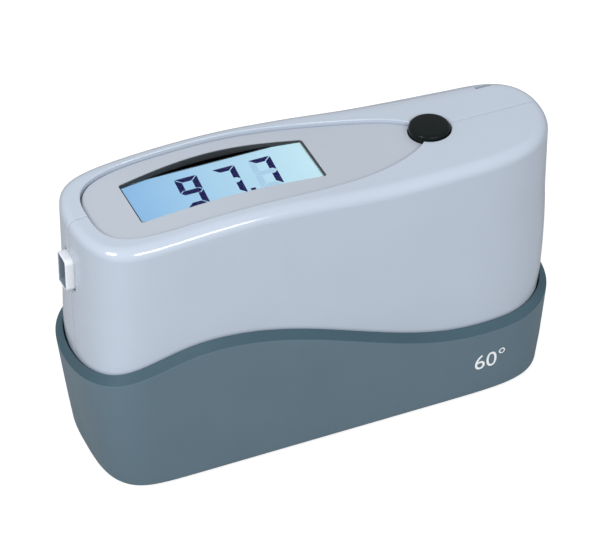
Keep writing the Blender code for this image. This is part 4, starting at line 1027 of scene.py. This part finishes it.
# The second finish is the frame's plastic made darker and bluer: painted shade for the walls of its
# cavity.
socket_painted_shade = grained("socket_painted_shade", (0.22, 0.27, 0.33), 0.45, 0.0007, 0.000006, 0.03)
socket = new_piece("end_socket", skin(socket_rings, "end_socket"), socket_pale, socket_painted_shade)
cavity_wall = SOCKET_WALL - CAVITY_EDGE / 4
cavity_y, cavity_z = half_y - cavity_wall, half_z - cavity_wall
# Faces inside the cavity take the darker finish, painted shade in place of the shade that falls in the
# recess.
for face in socket.data.polygons:
    spot = face.center
    face.material_index = int(abs(spot.y) < cavity_y and abs(spot.z - SOCKET_Z) < cavity_z)
polish(socket, 40)
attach(socket, "meter")
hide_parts("output_socket")

insert_blue = grained("insert_blue", (0.10, 0.14, 0.19), 0.35, 0.0007, 0.000006, 0.05)
finish_node("socket_contacts", insert_blue)


# Battery bay: a black moulded tray between two plated steel contact plates, which hold four AAA
# cells in plain dark blue jackets.
plated_steel = grained("plated_steel", (0.56, 0.57, 0.58), 0.28, 0.0012, 0.000003, 0.05)
tune(plated_steel, "Metallic", 1.0)
cell_jacket = grained("cell_jacket", (0.10, 0.14, 0.22), 0.3, 0.003, 0.000004, 0.08)
soften("battery_tray", 0.0002)
finish_node("battery_tray", matt_black)
finish_node("contact_plate_left", plated_steel)
finish_node("contact_plate_right", plated_steel)
for number in range(1, 5):
    finish_node(f"battery_{number}", cell_jacket)


# Screws: plated steel, four through the rear half into the front one's bosses, and four through
# the measuring face into the optical block.
for number in range(1, 5):
    finish_node(f"shell_screw_{number}", plated_steel)
    finish_node(f"plate_screw_{number}", plated_steel)


# Studio: a plain pale floor and a white surround, two soft lamps, one in front and one at the
# display's side, and the camera at the photograph's angle.
CAMERA_TURN = 23.461
CAMERA_RISE = 39.032
CAMERA_DISTANCE = 1.013647
CAMERA_TARGET = Vector((-0.00171, 0.0, 0.043665))
LENS = 215.573
SENSOR_WIDTH = 36
FLOOR_REACH = 4.0
FLOOR_LIFT = 0.72
LAMP_TARGET = Vector((0, 0, 0.05))
LAMP_DISTANCE = 1.2


def towards(turn_degrees, rise_degrees):
    """A direction: turned from the front towards the button end, and raised."""
    turn, rise = math.radians(turn_degrees), math.radians(rise_degrees)
    return Vector((math.sin(turn) * math.cos(rise), -math.cos(turn) * math.cos(rise), math.sin(rise)))


def add_lamp(name, turn, rise, width, height, power):
    light = bpy.data.lights.new(name, "AREA")
    light.shape = "RECTANGLE"
    light.size, light.size_y = width, height
    light.energy = power
    lamp = bpy.data.objects.new(name, light)
    bpy.context.scene.collection.objects.link(lamp)
    away = towards(turn, rise)
    lamp.location = LAMP_TARGET + away * LAMP_DISTANCE
    lamp.rotation_euler = away.to_track_quat("Z", "Y").to_euler()


def floor_paint():
    """Pale paint that the camera sees as white, with the shadow kept."""
    paint = bpy.data.materials.new("floor_paint")
    paint.use_nodes = True
    tree = paint.node_tree
    shader = tree.nodes["Principled BSDF"]
    shader.inputs["Roughness"].default_value = 0.9
    shader.inputs["Specular IOR Level"].default_value = 0.0
    shader.inputs["Base Color"].default_value = (0.42, 0.42, 0.42, 1)
    shader.inputs["Emission Color"].default_value = (1, 1, 1, 1)
    path = tree.nodes.new("ShaderNodeLightPath")
    lift = tree.nodes.new("ShaderNodeMath")
    lift.operation = "MULTIPLY"
    lift.inputs[1].default_value = FLOOR_LIFT
    tree.links.new(path.outputs["Is Camera Ray"], lift.inputs[0])
    tree.links.new(lift.outputs["Value"], shader.inputs["Emission Strength"])
    return paint


bm = bmesh.new()
bmesh.ops.create_grid(bm, x_segments=8, y_segments=8, size=FLOOR_REACH)
floor = new_piece("floor", from_bmesh(bm, "floor"), floor_paint())

world = bpy.data.worlds.new("surround")
bpy.context.scene.world = world
world.use_nodes = True
tree = world.node_tree
soft = tree.nodes["Background"]
soft.inputs["Color"].default_value = (0.985, 0.99, 1.0, 1)
soft.inputs["Strength"].default_value = 0.66
white = tree.nodes.new("ShaderNodeBackground")
white.inputs["Strength"].default_value = 1.0
path = tree.nodes.new("ShaderNodeLightPath")
choose = tree.nodes.new("ShaderNodeMixShader")
seen = path.outputs["Is Camera Ray"]
for ray in ("Is Glossy Ray", "Is Transmission Ray"):
    either = tree.nodes.new("ShaderNodeMath")
    either.operation = "MAXIMUM"
    tree.links.new(seen, either.inputs[0])
    tree.links.new(path.outputs[ray], either.inputs[1])
    seen = either.outputs["Value"]
tree.links.new(seen, choose.inputs["Fac"])
tree.links.new(soft.outputs["Background"], choose.inputs[1])
tree.links.new(white.outputs["Background"], choose.inputs[2])
tree.links.new(choose.outputs["Shader"], tree.nodes["World Output"].inputs["Surface"])

add_lamp("front_lamp", 1, 35, 0.66, 0.26, 6.6)
add_lamp("left_lamp", -68, 38, 0.37, 0.42, 7.6)

away = towards(-CAMERA_TURN, CAMERA_RISE)
lens = bpy.data.cameras.new("camera")
lens.sensor_width = SENSOR_WIDTH
lens.lens = LENS
camera = bpy.data.objects.new("camera", lens)
camera.location = CAMERA_TARGET + away * CAMERA_DISTANCE
camera.rotation_euler = away.to_track_quat("Z", "Y").to_euler()
bpy.context.scene.collection.objects.link(camera)
bpy.context.scene.camera = camera
